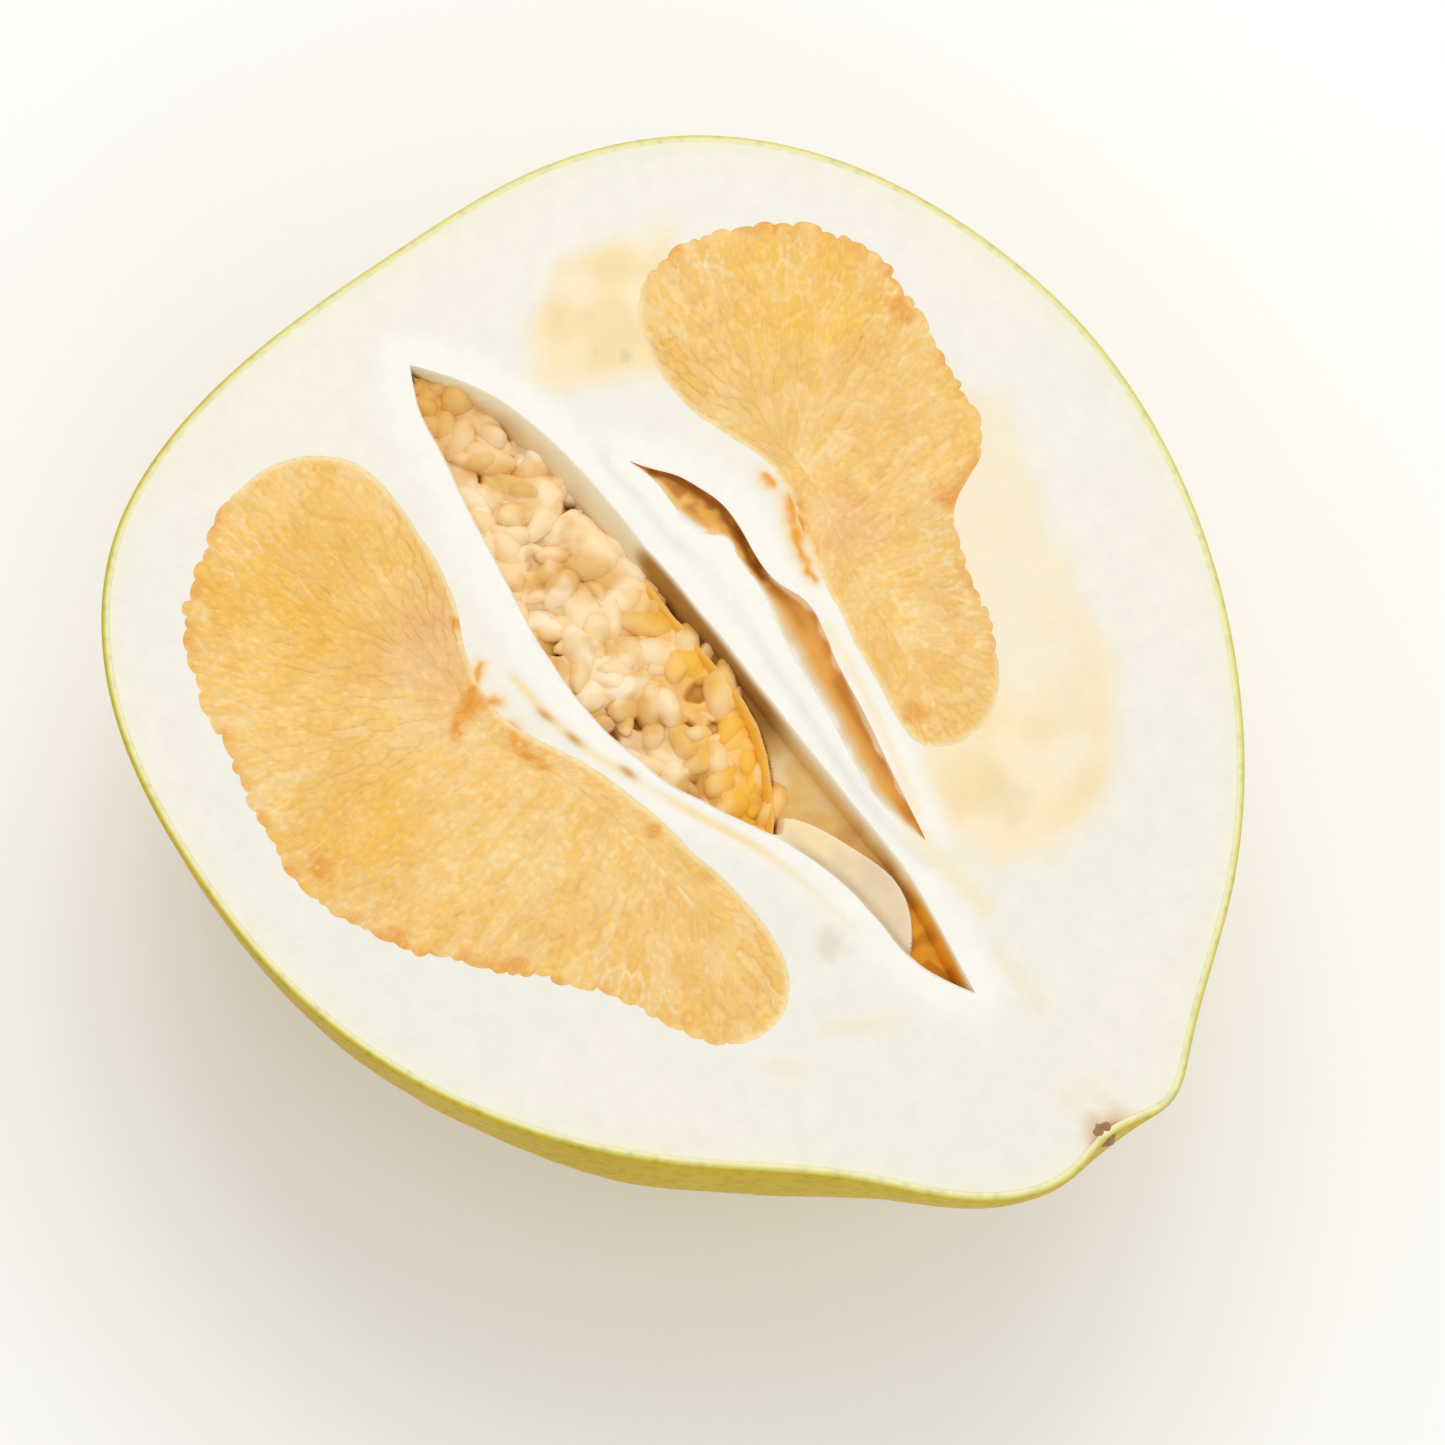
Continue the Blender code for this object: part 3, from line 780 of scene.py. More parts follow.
def coreTints(place):
    flat = place[:, :2]
    _, pastSacs, onFlap, toHole = coreDepth(flat)
    down = -place[:, 2]
    x = flat[:, 0] + middle[0]
    inward = lineField(flat, coreLoop[::3], True)[0]
    mottle = softNoise(flat, 2.4, 85)
    tint = np.tile(linear(pithLook["septum"]), (len(place), 1))
    tint = layered(tint, [
        (pithLook["wallPale"], ramp(inward, 0.0, 0.5)),
        # beige further in from the edge: partly the walls' own colour, partly painted shade
        (pithLook["wallBeige"], ramp(inward + 0.3 * mottle, 0.6, 3.0) * (0.55 + 0.35 * pastSacs)),
        # painted shade: ochre deeper down the walls
        (pithLook["wallShadeOchre"], ramp(down, 4.5, 8) * 0.7),
        ("#D9AE66", ramp(-x, 42, 55) * ramp(inward + 0.3 * mottle, 0.7, 2.0) * 0.8),
        (pithLook["crescent"], pastSacs * ramp(inward, 0.3, 1.2) * 0.95),
        (
            "#EBD9B4",
            pastSacs * ramp(x, 2, 12) * ramp(-x, -26, -14) * ramp(0.6 * mottle, -0.3, 0.5)
            * ramp(inward, 1.2, 2.4) * 0.7
        ),
        ("#C8913E", pastSacs * ramp(x, 20, 29) * ramp(inward, 0.2, 1.0) * ramp(mottle, -0.8, 0.5) * 0.75),
        # painted shade: the dark gap along the wall beyond the sacs
        (pithLook["gap"], pastSacs * ramp(-x, -12, -3) * ramp(inward, 0.15, 0.8) * 0.9),
        (pithLook["hole"], toHole * (1 - onFlap) * ramp(inward, 0.1, 0.7)),
        (
            "#B87618",
            toHole * (1 - onFlap) * ramp(softNoise(flat, 1.6, 86), 0.0, 0.7) * ramp(inward, 0.4, 1.2) * 0.7
        ),
        (pithLook["flap"], onFlap * 0.95),
        ("#EAD3B0", onFlap * ramp(x, 24, 32)),
        # painted shade along the flap's near boundary
        ("#C9B28C", onFlap * ramp(-inward, -2.2, -0.2) * ramp(x, 17, 25) * 0.8),
        ("#DCC8A4", onFlap * ramp(0.7 * mottle, -0.1, 0.6) * 0.5),
    ])
    edgeBand = lineField(flat, flapEdge)[0]
    tint = mixIn(tint, "#FCECC6", onFlap * bell(edgeBand, 0.45) * 0.95)
    return tint


def bothEdges(ids, steps):
    # a closed loop of point numbers as a near and a far row with shared ends
    return ids[: steps + 1], np.concatenate([[ids[0]], ids[:steps:-1], [ids[steps]]])


def stitch(first, second):
    # faces between two rows of point numbers that may share their ends
    for quad in zip(first[:-1], first[1:], second[1:], second[:-1]):
        corners = dict.fromkeys(int(c) for c in quad)
        if len(corners) > 2:
            pithFaces.append(list(corners))


# each column shares its two ends with the face's loops
nearIds, farIds = bothEdges(loopIds[3], core["steps"])
previous = nearIds
for place in corePlaces:
    ids = addRing(place[1:-1], coreTints(place[1:-1]))
    current = np.concatenate([[nearIds[0]], ids, [nearIds[-1]]])
    stitch(previous, current)
    previous = current
stitch(previous, farIds)

# the slit slopes down from its near edge and ends at a sheer far wall
slitRows = [
    (0.04, 0.01), (0.09, 0.03), (0.15, 0.07), (0.22, 0.13), (0.3, 0.22), (0.38, 0.33), (0.46, 0.45),
    (0.54, 0.57), (0.62, 0.69), (0.7, 0.8), (0.77, 0.9), (0.83, 0.97), (0.88, 1.0), (0.915, 0.92), (0.94, 0.72),
    (0.955, 0.5), (0.97, 0.28), (0.985, 0.1),
]
nearIds, farIds = bothEdges(loopIds[4], slit["steps"])
travel = np.linspace(0, 1, slit["steps"] + 1)
previous = nearIds
alongX = slitNear[:, 0] + middle[0]
deepest = (1.5 + (slit["depth"] - 1.5) * ramp(alongX, -15, -7)) * np.sin(math.pi * travel) ** 0.5
shadowLine = smoothCurve(slit["dark"], 60) - middle
brownLine = smoothCurve(slit["brown"], 60) - middle
for acrossShare, depthShare in slitRows:
    place = slitNear + (slitFar - slitNear) * acrossShare
    roughen = softNoise(place, 1.8, 81) * math.sin(math.pi * acrossShare)
    place = np.hstack([place, -(deepest * depthShare + 0.2 * roughen).clip(0.03)[:, None]])[1:-1]
    flat = place[:, :2]
    x = flat[:, 0] + middle[0]
    share = np.full(len(place), acrossShare) + 0.06 * softNoise(flat, 2.2, 82)
    upper = ramp(-x, 9, 12)
    tint = np.tile(linear(pithLook["septum"]), (len(place), 1))
    # beige down the slope: partly the wall's own colour, partly painted shade
    tint = mixIn(tint, pithLook["wallBeige"], ramp(share, -0.06, 0.2) * 0.9)
    tint = mixIn(tint, pithLook["slitOrange"], (1 - upper) * ramp(share, 0.14, 0.5) * 0.9)
    # a brown line near the far side: partly the wall's own colour, partly painted shade
    brown = bell(lineField(flat, brownLine)[0], 0.9) * ramp(softNoise(flat, 4.5, 84), -1.0, 0.2)
    tint = layered(tint, [
        ("#C07E30", brown * 0.8),
        (pithLook["slitOrange"], upper * ramp(share, 0.05, 0.25) * 0.95),
        ("#F2C070", upper * ramp(softNoise(flat, 1.6, 83), 0.25, 0.6) * ramp(-share, -0.7, -0.4) * 0.8),
        ("#B06A1C", upper * ramp(softNoise(flat, 1.5, 89), -0.1, 0.4) * ramp(share, 0.2, 0.4) * 0.7),
    ])
    # painted shadow: a dark line along the slit's far side
    darkShare = bell(lineField(flat + 0.3 * drift(flat, 1.2, 87), shadowLine)[0], 0.75)
    tint = mixIn(tint, pithLook["slitShadow"], darkShare * 0.95)
    tint = mixIn(tint, "#FFF0CC", (1 - upper) * ramp(share, 0.9, 0.98))
    ids = addRing(place, tint)
    current = np.concatenate([[nearIds[0]], ids, [nearIds[-1]]])
    stitch(previous, current)
    previous = current
stitch(previous, farIds)

pithFinish, tree = newFinish("spongy citrus pith")  # cut with a knife: matt, fine open cells, faint mottling
where = addNode(tree, "ShaderNodeTexCoord").outputs["Object"]
tintNode = addNode(tree, "ShaderNodeAttribute", attribute_name="tint")
mottle = addNode(
    tree, "ShaderNodeTexNoise", {"Vector": where, "Scale": 1000 / 3.0, "Detail": 3.0, "Roughness": 0.6}
)
sponge = addNode(
    tree, "ShaderNodeTexNoise", {"Vector": where, "Scale": 1000 / 0.7, "Detail": 2.0, "Roughness": 0.65}
)
soften = addNode(
    tree, "ShaderNodeMapRange",
    {"Value": mottle.outputs["Fac"], "From Min": 0.3, "From Max": 0.7, "To Min": 0.965, "To Max": 1.01}
).outputs[0]
shaded = addNode(
    tree, "ShaderNodeMix", {"Factor": 1.0, "A": tintNode.outputs["Color"], "B": soften}, data_type="RGBA",
    blend_type="MULTIPLY"
).outputs[2]
bump = addNode(
    tree, "ShaderNodeBump", {"Height": sponge.outputs["Fac"], "Strength": 0.35, "Distance": 0.0003}
).outputs[0]
shader = addNode(tree, "ShaderNodeBsdfPrincipled", {
    "Base Color": shaded, "Roughness": 0.72, "Normal": bump, "IOR": 1.38, "Specular IOR Level": 0.35,
})
addNode(tree, "ShaderNodeOutputMaterial", {"Surface": shader.outputs[0]})
pith = makePiece("pith_body", np.vstack(pithPlaces), pithFaces, [pithFinish], tint=np.vstack(pithTints))
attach(pith, "root")
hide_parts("pith")
print("pith:", len(pithFaces), "faces")


# pulp: cut juice sacs that run out from each segment's hilum

pulpLook = {
    "gold": "#F7BF46",
    "peach": "#F7CB7C",
    "pale": "#FEDFA2",
    "pink": "#F4BF82",
    "crease": "#FFE8B2",
    "deepCrease": "#EDAC46",
    "crevice": "#EC9A20",
    "spot": "#EDA03E",
    "relief": 0.26,
}
bigMarks = {
    "crevices": [
        [(-25.7, -26.1), (-24.6, -27.7), (-24.1, -30.1), (-22, -32.2)],
        [(-23.8, -28.8), (-23.7, -27.3), (-22.2, -24.6)], [(-16.8, -26.3), (-14.1, -26.7), (-10.7, -25.6)]
    ],
    "spots": [
        ((-21.0, -59.2), 3.0), ((-6.2, -57.3), 2.4), ((7.6, -48.1), 2.2), ((6.2, -20.6), 1.6),
        ((-34.3, -21.0), 1.6)
    ],
    "gold": [((-52, -38), 21), ((-22, -52), 13)],
    "pink": [((-33, -25), 13)],
}
smallMarks = {
    "crevices": [[(-16.1, 27.1), (-14.3, 26.1), (-12.2, 25)]],
    "spots": [((-27, 58), 3.0), ((-2, 44), 3.0), ((18, 19), 2.5)],
    "gold": [((-38, 50), 16)],
    "pink": [((-8, 30), 8)],
}


def nearestTwo(places, seeds, flows, width, length):
    # which sac a place lies in, how far out in it, and how near it is to the next sac
    owner = np.zeros(len(places), int)
    first = np.zeros(len(places))
    second = np.zeros(len(places))
    for start in range(0, len(places), 4000):
        gap = places[start : start + 4000, None] - seeds[None]
        along = (gap * flows).sum(axis=2) / length
        acrossIt = (gap[..., 0] * flows[:, 1] - gap[..., 1] * flows[:, 0]) / width
        distance = np.hypot(along, acrossIt)
        pair = np.argpartition(distance, 1, axis=1)[:, :2]
        values = np.take_along_axis(distance, pair, axis=1)
        swap = values[:, 0] > values[:, 1]
        pair[swap] = pair[swap][:, ::-1]
        values[swap] = values[swap][:, ::-1]
        owner[start : start + 4000] = pair[:, 0]
        first[start : start + 4000], second[start : start + 4000] = values.T
    return owner, first, second


def makePulp(name, segment, loop, ragged, rimHeight, marks, node, finish):
    draw = np.random.default_rng(segment["seed"] + 100)
    rootLine = smoothCurve(segment["roots"], 44) - middle
    rimX, rootX = np.array(segment["rootReach"], float).T
    wantedX = np.interp(loop[:, 0] + middle[0], rimX, rootX) - middle[0]
    rootOf = np.abs(rootLine[:, 0][None] - wantedX[:, None]).argmin(axis=1)
    rim = loop + outwards(loop) * 0.02
    rows, steps = segment["rows"], segment["steps"]
    flow = rim - rootLine[rootOf]
    flow /= np.linalg.norm(flow, axis=1)[:, None]
    flatPlaces = [rim + (rootLine[rootOf] - rim) * (row / rows) for row in range(rows)]
    flat = np.vstack(flatPlaces + [rootLine])
    flows = np.vstack([flow] * rows + [np.tile([[0.0, -1.0]], (len(rootLine), 1))])
    # seeds for the sacs
    order = draw.permutation(rows * steps)[:14000]
    kept = []
    width, length = segment["sacWidth"], segment["sacLength"]
    for i in order:
        if kept:
            gap = flat[i] - flat[kept]
            chosen = flows[kept]
            along = (gap * chosen).sum(axis=1) / length
            acrossIt = (gap[:, 0] * chosen[:, 1] - gap[:, 1] * chosen[:, 0]) / width
            if (along**2 + acrossIt**2).min() < 0.55:
                continue
        kept.append(i)
    kept = np.array(kept)
    jitter = drift(flat, 1.6, 91) * 0.45
    owner, first, second = nearestTwo(flat + jitter, flat[kept], flows[kept], width, length)
    crease = bell(second - first, 0.13)
    dome = np.sqrt(np.clip(1 - first**2, 0, 1))
    sacLift = draw.uniform(-1, 1, len(kept))[owner]
    toRim = lineField(flat, loop[::3], True)[0]
    outside = ~isInside(flat, loop)
    relief = pulpLook["relief"]
    toRoot = lineField(flat, rootLine)[0]
    relief = relief * (0.25 + 0.75 * ramp(toRoot, 2, 10))
    height = -0.33 + relief * (0.75 * dome + 0.35 * sacLift - 0.55 * crease)
    height = height - 0.06 * ramp(-np.where(outside, -toRim, toRim), -0.5, 0.15)
    height = height + 0.05 * softNoise(flat, 1.1, 93)
    atRim = ramp(-np.where(outside, 0, toRim), -0.9, -0.05)
    rimAt = np.concatenate([np.tile(rimHeight - 0.03, rows), np.zeros(len(rootLine))])
    height = height + (rimAt - height) * atRim
    # colours: each sac its own, then the broad changes over the segment
    mood = draw.uniform(0, 1, len(kept))[owner]
    tint = np.tile(linear(pulpLook["peach"]), (len(flat), 1))
    tint = mixIn(tint, pulpLook["gold"], ramp(mood, 0.45, 0.95) * 0.4)
    tint = mixIn(tint, pulpLook["pale"], ramp(-mood, -0.35, 0.0) * 0.35)
    feature = flat + middle
    for kind in ("gold", "pink"):
        for centre, radius in marks[kind]:
            distance = np.linalg.norm(feature - centre, axis=1) / radius
            tint = mixIn(
                tint, pulpLook[kind], ramp(-distance, -1.1, -0.2) * (0.65 + 0.35 * softNoise(flat, 3, 95))
            )
    pick = ramp(softNoise(flat, 4.0, 97), -0.2, 0.5)
    tint = mixIn(tint, pulpLook["crease"], crease * pick * 0.38)
    # darker orange in the other creases: partly the sacs' own streaks, partly painted shade in the grooves
    tint = mixIn(tint, pulpLook["deepCrease"], crease * (1 - pick) * 0.24)
    unevenness = 1 + 0.07 * softNoise(flat, 6.5, 105) + 0.05 * softNoise(flat, 2.2, 106)
    tint = tint * unevenness[:, None] ** np.array([0.5, 1.0, 1.9])
    inner = np.where(outside, 0, toRim)
    raggedAt = np.concatenate([np.tile(ragged, rows), np.zeros(len(rootLine))])
    tint = layered(tint, [
        (
            pulpLook["crease"],
            crease * raggedAt * ramp(-inner, -11, -3) * ramp(softNoise(flat, 5.0, 108), -0.4, 0.5) * 0.75
        ),
        (
            pulpLook["spot"],
            raggedAt * ramp(-inner, -2.4, -0.3) * ramp(softNoise(flat, 2.6, 99), -0.1, 0.6) * 0.6
        ),
        (pulpLook["crease"], (1 - raggedAt) * ramp(-inner, -1.2, -0.1) * 0.85),
    ])
    for centre, radius in marks["spots"]:
        distance = np.linalg.norm(feature - centre, axis=1) / radius + 0.3 * softNoise(flat, 1.2, 101)
        tint = mixIn(tint, pulpLook["spot"], ramp(-distance, -1.0, -0.2) * 0.8)
    for line in marks["crevices"]:
        distance = lineField(feature + 0.35 * drift(flat, 0.9, 103), smoothCurve(line, 30))[0]
        tint = mixIn(
            tint, pulpLook["crevice"], bell(distance, 0.95) * ramp(softNoise(flat, 1.4, 107), -1.1, -0.2) * 0.95
        )
        height = height - 0.1 * bell(distance, 0.6)
    places = np.hstack([flat, np.minimum(height, -0.02)[:, None]])
    # streaks follow a round coordinate so that they have no seam
    arc = np.linspace(0, 2 * math.pi, steps, endpoint=False)
    perimeter = np.linalg.norm(np.roll(loop, -1, axis=0) - loop, axis=1).sum()
    out = np.linalg.norm(rim - rootLine[rootOf], axis=1)
    flowPlaces = [
        np.stack(
            [np.cos(arc) * perimeter / 6.283, np.sin(arc) * perimeter / 6.283, out * row / rows], axis=1
        ) for row in range(rows)
    ]
    flowPlaces = np.vstack(flowPlaces + [np.zeros((len(rootLine), 3))])

    rings = [np.arange(steps) + row * steps for row in range(rows)]
    roots = rows * steps + rootOf
    faces = []
    for row in range(rows - 1):
        faces += ringFaces(rings[row], rings[row + 1])
    faces += [list(dict.fromkeys(quad)) for quad in ringFaces(rings[-1], roots)]
    heart = loop.mean(axis=0)
    previous = rings[0]
    under = []
    for share, size in [(0.04, 1.0)] + list(zip(bowl["shares"], bowl["sizes"])):
        under.append(flatRing(heart + (rim - heart) * size, -segment["depth"] * share))
        current = len(places) + np.arange(steps) + (len(under) - 1) * steps
        faces += ringFaces(previous, current)
        previous = current
    faces.append(previous.tolist())
    places = np.vstack([places] + under)
    extra = len(under) * steps
    tint = np.vstack([tint, np.tile(linear(pulpLook["peach"]), (extra, 1))])
    flowPlaces = np.vstack([flowPlaces, np.zeros((extra, 3))])
    piece = makePiece(name, places, faces, [finish], tint=tint, flow=flowPlaces)
    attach(piece, "root")
    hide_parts(node)
    print(name, len(faces), "faces,", len(kept), "sacs")
    return piece


# cut juice sacs: moist, softly see-through, streaked along the sacs
pulpFinish, tree = newFinish("moist citrus pulp")
tintNode = addNode(tree, "ShaderNodeAttribute", attribute_name="tint")
flowNode = addNode(tree, "ShaderNodeAttribute", attribute_name="flow")
where = addNode(tree, "ShaderNodeTexCoord").outputs["Object"]
stretched = addNode(
    tree, "ShaderNodeVectorMath", {0: flowNode.outputs["Vector"], 1: (1.9, 1.9, 0.9)}, operation="MULTIPLY"
)
streaks = addNode(
    tree, "ShaderNodeTexNoise",
    {"Vector": stretched.outputs[0], "Scale": 1.0, "Detail": 4.0, "Roughness": 0.6, "Distortion": 0.3}
)
grain = addNode(tree, "ShaderNodeTexVoronoi", {"Vector": where, "Scale": 1000 / 1.3}, feature="F1")
streakShare = addNode(
    tree, "ShaderNodeMapRange",
    {"Value": streaks.outputs["Fac"], "From Min": 0.52, "From Max": 0.72, "To Min": 0.0, "To Max": 0.4}
).outputs[0]
darkShare = addNode(
    tree, "ShaderNodeMapRange",
    {"Value": streaks.outputs["Fac"], "From Min": 0.46, "From Max": 0.28, "To Min": 0.0, "To Max": 0.36}
).outputs[0]
paler = addNode(
    tree, "ShaderNodeMix", {"Factor": streakShare, "A": tintNode.outputs["Color"], "B": "#FFE5AC"},
    data_type="RGBA"
).outputs[2]
deeper = addNode(
    tree, "ShaderNodeMix", {"Factor": darkShare, "A": paler, "B": "#EEAB3E"}, data_type="RGBA"
).outputs[2]
grainShare = addNode(
    tree, "ShaderNodeMapRange",
    {"Value": grain.outputs["Distance"], "From Min": 0.1, "From Max": 0.5, "To Min": 1.03, "To Max": 0.95}
).outputs[0]
shaded = addNode(
    tree, "ShaderNodeMix", {"Factor": 1.0, "A": deeper, "B": grainShare}, data_type="RGBA",
    blend_type="MULTIPLY"
).outputs[2]
reliefSum = addNode(
    tree, "ShaderNodeMath", {0: streaks.outputs["Fac"], 1: 1.4, 2: grain.outputs["Distance"]},
    operation="MULTIPLY_ADD"
).outputs[0]
bump = addNode(tree, "ShaderNodeBump", {"Height": reliefSum, "Strength": 0.3, "Distance": 0.0004}).outputs[0]
shader = addNode(tree, "ShaderNodeBsdfPrincipled", {
    "Base Color": shaded, "Roughness": 0.38, "Normal": bump, "IOR": 1.36,
    "Specular IOR Level": 0.45, "Subsurface Weight": 0.1, "Subsurface Radius": (1.0, 0.6, 0.3),
    "Subsurface Scale": 0.0012,
})
addNode(tree, "ShaderNodeOutputMaterial", {"Surface": shader.outputs[0]})
makePulp("pulp_near", bigPulp, bigLoop, bigRagged, heights[loopIds[1]], bigMarks, "pulp_large", pulpFinish)
makePulp(
    "pulp_far", smallPulp, smallLoop, smallRagged, heights[loopIds[2]], smallMarks, "pulp_small", pulpFinish
)


# loose sacs lying in the open core

looseSacs = {
    "far": [(-66, -0.8), (-55, 4.6), (-42, 6.2), (-28, 5.4), (-14, 3.4), (-2, 2.4), (9, -1.0), (18.4, -8.9)],
    "near": [
        (-66, -0.8), (-57, -5.2), (-46, -8.6), (-32, -12.4), (-20, -15.1), (-6, -15.4), (8, -12.6), (18.4, -8.9)
    ],
    "steps": 260,
    "rowsAcross": 60,
    "bed": -5.0,
    "thick": 5.0,
    "length": 7.4,
    "width": 4.8,
    "spacing": 1.9,
    "tilt": 0.5,
    "lift": -1.1,
    "variants": 5,
    "presses": 6,
    "seed": 4,
    "lumps": [
        ((-43, 0.6), (6.2, 3.6), 0.25, 2.0), ((-29.5, 1.6), (7.0, 3.2), -0.15, 1.8),
        ((-34, -5.5), (4.2, 2.4), 0.2, 1.5), ((-24.5, -5.5), (4.6, 2.6), -0.5, 1.5)
    ],
    "pockets": [
        (-23.5, -11.8), (-15.6, -14.9), (-8.7, -14.9), (-10.9, -10.9), (-7.9, -10.4), (7.2, -8.1), (3.2, -11.3),
        (15, -8.5), (-34.5, -5.7), (-23.9, -11.4), (-37.1, 3.5), (-49.5, -4.6), (-47.0, 1.2), (-51.5, 3.4),
        (-2.5, -6.0), (0.5, -2.6), (-19.0, -6.5), (10.6, -10.2), (-5.2, -1.2)
    ],
    "beige": "#FFECC8",
    "ochre": "#E2AC4A",
    "orange": "#F7BC2E",
    "brown": "#B2721C",
}


def lumpAt(place, centre, sizes, turned):
    # 1 at the middle of a lump of sacs, 0 at its edge
    gap = place + middle - centre
    alongIt = (gap[:, 0] * math.cos(turned) + gap[:, 1] * math.sin(turned)) / sizes[0]
    acrossIt = (gap[:, 1] * math.cos(turned) - gap[:, 0] * math.sin(turned)) / sizes[1]
    return 1 - alongIt**2 - acrossIt**2


steps, rowsAcross = looseSacs["steps"], looseSacs["rowsAcross"]
near = smoothCurve(looseSacs["near"], steps + 1) - middle
far = smoothCurve(looseSacs["far"], steps + 1) - middle
rows = [near + (far - near) * k / rowsAcross for k in range(rowsAcross + 1)]
top = []
for k, place in enumerate(rows):
    bulge = math.sin(math.pi * k / rowsAcross) ** 0.5
    lift = looseSacs["bed"] + 2.4 * ramp(-place[:, 0] - middle[0], 54, 64)
    for strength, size, seed in ((0.8, 7, 111), (0.6, 2.4, 112), (0.25, 1.1, 113)):
        lift = lift + strength * softNoise(place, size, seed)
    lift = lift + 0.6 * bulge
    for centre, sizes, turned, high in looseSacs["lumps"]:
        roundness = np.clip(lumpAt(place, centre, sizes, turned) + 0.12 * softNoise(place, 2.5, 114), 0, 1)
        lift = np.maximum(lift, looseSacs["bed"] + high * roundness**0.5)
    top.append(np.hstack([place, lift[:, None]]))
ids = np.arange((rowsAcross + 1) * (steps + 1)).reshape(rowsAcross + 1, steps + 1)
bedPlaces = np.vstack(top)
bedFaces = []
for k in range(rowsAcross):
    bedFaces += np.stack([ids[k, :-1], ids[k, 1:], ids[k + 1, 1:], ids[k + 1, :-1]], axis=1).tolist()
rimIds = np.concatenate([ids[0], ids[-1, ::-1]])
lower = bedPlaces[rimIds] * (1, 1, 0) + (0, 0, looseSacs["bed"] - looseSacs["thick"])
lowerIds = len(bedPlaces) + np.arange(len(rimIds))
bedFaces += ringFaces(rimIds, lowerIds)
bedFaces.append(lowerIds.tolist())
bedPlaces = np.vstack([bedPlaces, lower])
onLump = np.zeros(len(bedPlaces))
for centre, sizes, turned, high in looseSacs["lumps"]:
    onLump = np.maximum(onLump, ramp(lumpAt(bedPlaces[:, :2], centre, sizes, turned), 0.0, 0.25))
inPocket = np.zeros(len(bedPlaces))
for centre in looseSacs["pockets"]:
    gap = np.linalg.norm(bedPlaces[:, :2] + middle - centre, axis=1)
    inPocket = np.maximum(inPocket, ramp(-gap + 0.5 * softNoise(bedPlaces[:, :2], 1.5, 115), -2.0, -0.9))
bedPlaces[:, 2] -= 1.6 * inPocket * (bedPlaces[:, 2] > looseSacs["bed"] - 2)

# whole sacs: moist, dull skins with ochre shade between them
sacFinish, tree = newFinish("loose juice sacs")
where = addNode(tree, "ShaderNodeTexCoord").outputs["Object"]
toneNode = addNode(tree, "ShaderNodeAttribute", attribute_name="tone")
apart = addNode(tree, "ShaderNodeSeparateXYZ", {0: where})
alongX = addNode(
    tree, "ShaderNodeMapRange",
    {"Value": apart.outputs["X"], "From Min": -0.027, "From Max": -0.012, "To Min": 0.0, "To Max": 1.0}
).outputs[0]
toMembrane = addNode(tree, "ShaderNodeVectorMath", {0: where, 1: (0.278, 0.961, 0.0)}, operation="DOT_PRODUCT")
alongY = addNode(
    tree, "ShaderNodeMapRange",
    {
        "Value": toMembrane.outputs["Value"], "From Min": -0.0105, "From Max": -0.0058, "To Min": 0.0,
        "To Max": 0.85
    }
).outputs[0]
warmSum = addNode(tree, "ShaderNodeMath", {0: alongX, 1: alongY}, operation="MULTIPLY").outputs[0]
patchNoise = addNode(tree, "ShaderNodeTexNoise", {"Vector": where, "Scale": 1000 / 7.0, "Detail": 2.0})
patchShare = addNode(
    tree, "ShaderNodeMapRange",
    {"Value": patchNoise.outputs["Fac"], "From Min": 0.46, "From Max": 0.62, "To Min": 0.0, "To Max": 0.75}
).outputs[0]
tipShare = addNode(
    tree, "ShaderNodeMapRange",
    {"Value": apart.outputs["X"], "From Min": -0.047, "From Max": -0.061, "To Min": 0.0, "To Max": 0.85}
).outputs[0]
patchOrTip = addNode(tree, "ShaderNodeMath", {0: patchShare, 1: tipShare}, operation="MAXIMUM").outputs[0]
warmBreak = addNode(
    tree, "ShaderNodeMapRange",
    {"Value": toneNode.outputs["Fac"], "From Min": 0.0, "From Max": 0.8, "To Min": 0.45, "To Max": 1.0}
).outputs[0]
warmShare = addNode(tree, "ShaderNodeMath", {0: warmSum, 1: warmBreak}, operation="MULTIPLY").outputs[0]
veins = addNode(
    tree, "ShaderNodeTexNoise", {"Vector": where, "Scale": 1000 / 1.6, "Detail": 4.0, "Distortion": 0.6}
)
depthShade = addNode(
    tree, "ShaderNodeMapRange",
    {
        "Value": apart.outputs["Z"], "From Min": (cutHeight - 6.0) / 1000, "From Max": (cutHeight - 4.3) / 1000,
        "To Min": 1.0, "To Max": 0.0
    }
).outputs[0]
toneMix = addNode(
    tree, "ShaderNodeMix", {"Factor": toneNode.outputs["Fac"], "A": looseSacs["beige"], "B": "#FBD8A0"},
    data_type="RGBA"
).outputs[2]
patchMix = addNode(
    tree, "ShaderNodeMix", {"Factor": patchOrTip, "A": toneMix, "B": looseSacs["ochre"]}, data_type="RGBA"
).outputs[2]
warmMix = addNode(
    tree, "ShaderNodeMix", {"Factor": warmShare, "A": patchMix, "B": looseSacs["orange"]}, data_type="RGBA"
).outputs[2]
deepShare = addNode(tree, "ShaderNodeMath", {0: depthShade, 1: 0.9}, operation="MULTIPLY").outputs[0]
deepMix = addNode(
    tree, "ShaderNodeMix", {"Factor": deepShare, "A": warmMix, "B": looseSacs["brown"]}, data_type="RGBA"
).outputs[2]
bump = addNode(
    tree, "ShaderNodeBump", {"Height": veins.outputs["Fac"], "Strength": 0.35, "Distance": 0.0004}
).outputs[0]
shader = addNode(tree, "ShaderNodeBsdfPrincipled", {
    "Base Color": deepMix, "Roughness": 0.42, "Normal": bump, "IOR": 1.36, "Specular IOR Level": 0.25,
})
addNode(tree, "ShaderNodeOutputMaterial", {"Surface": shader.outputs[0]})

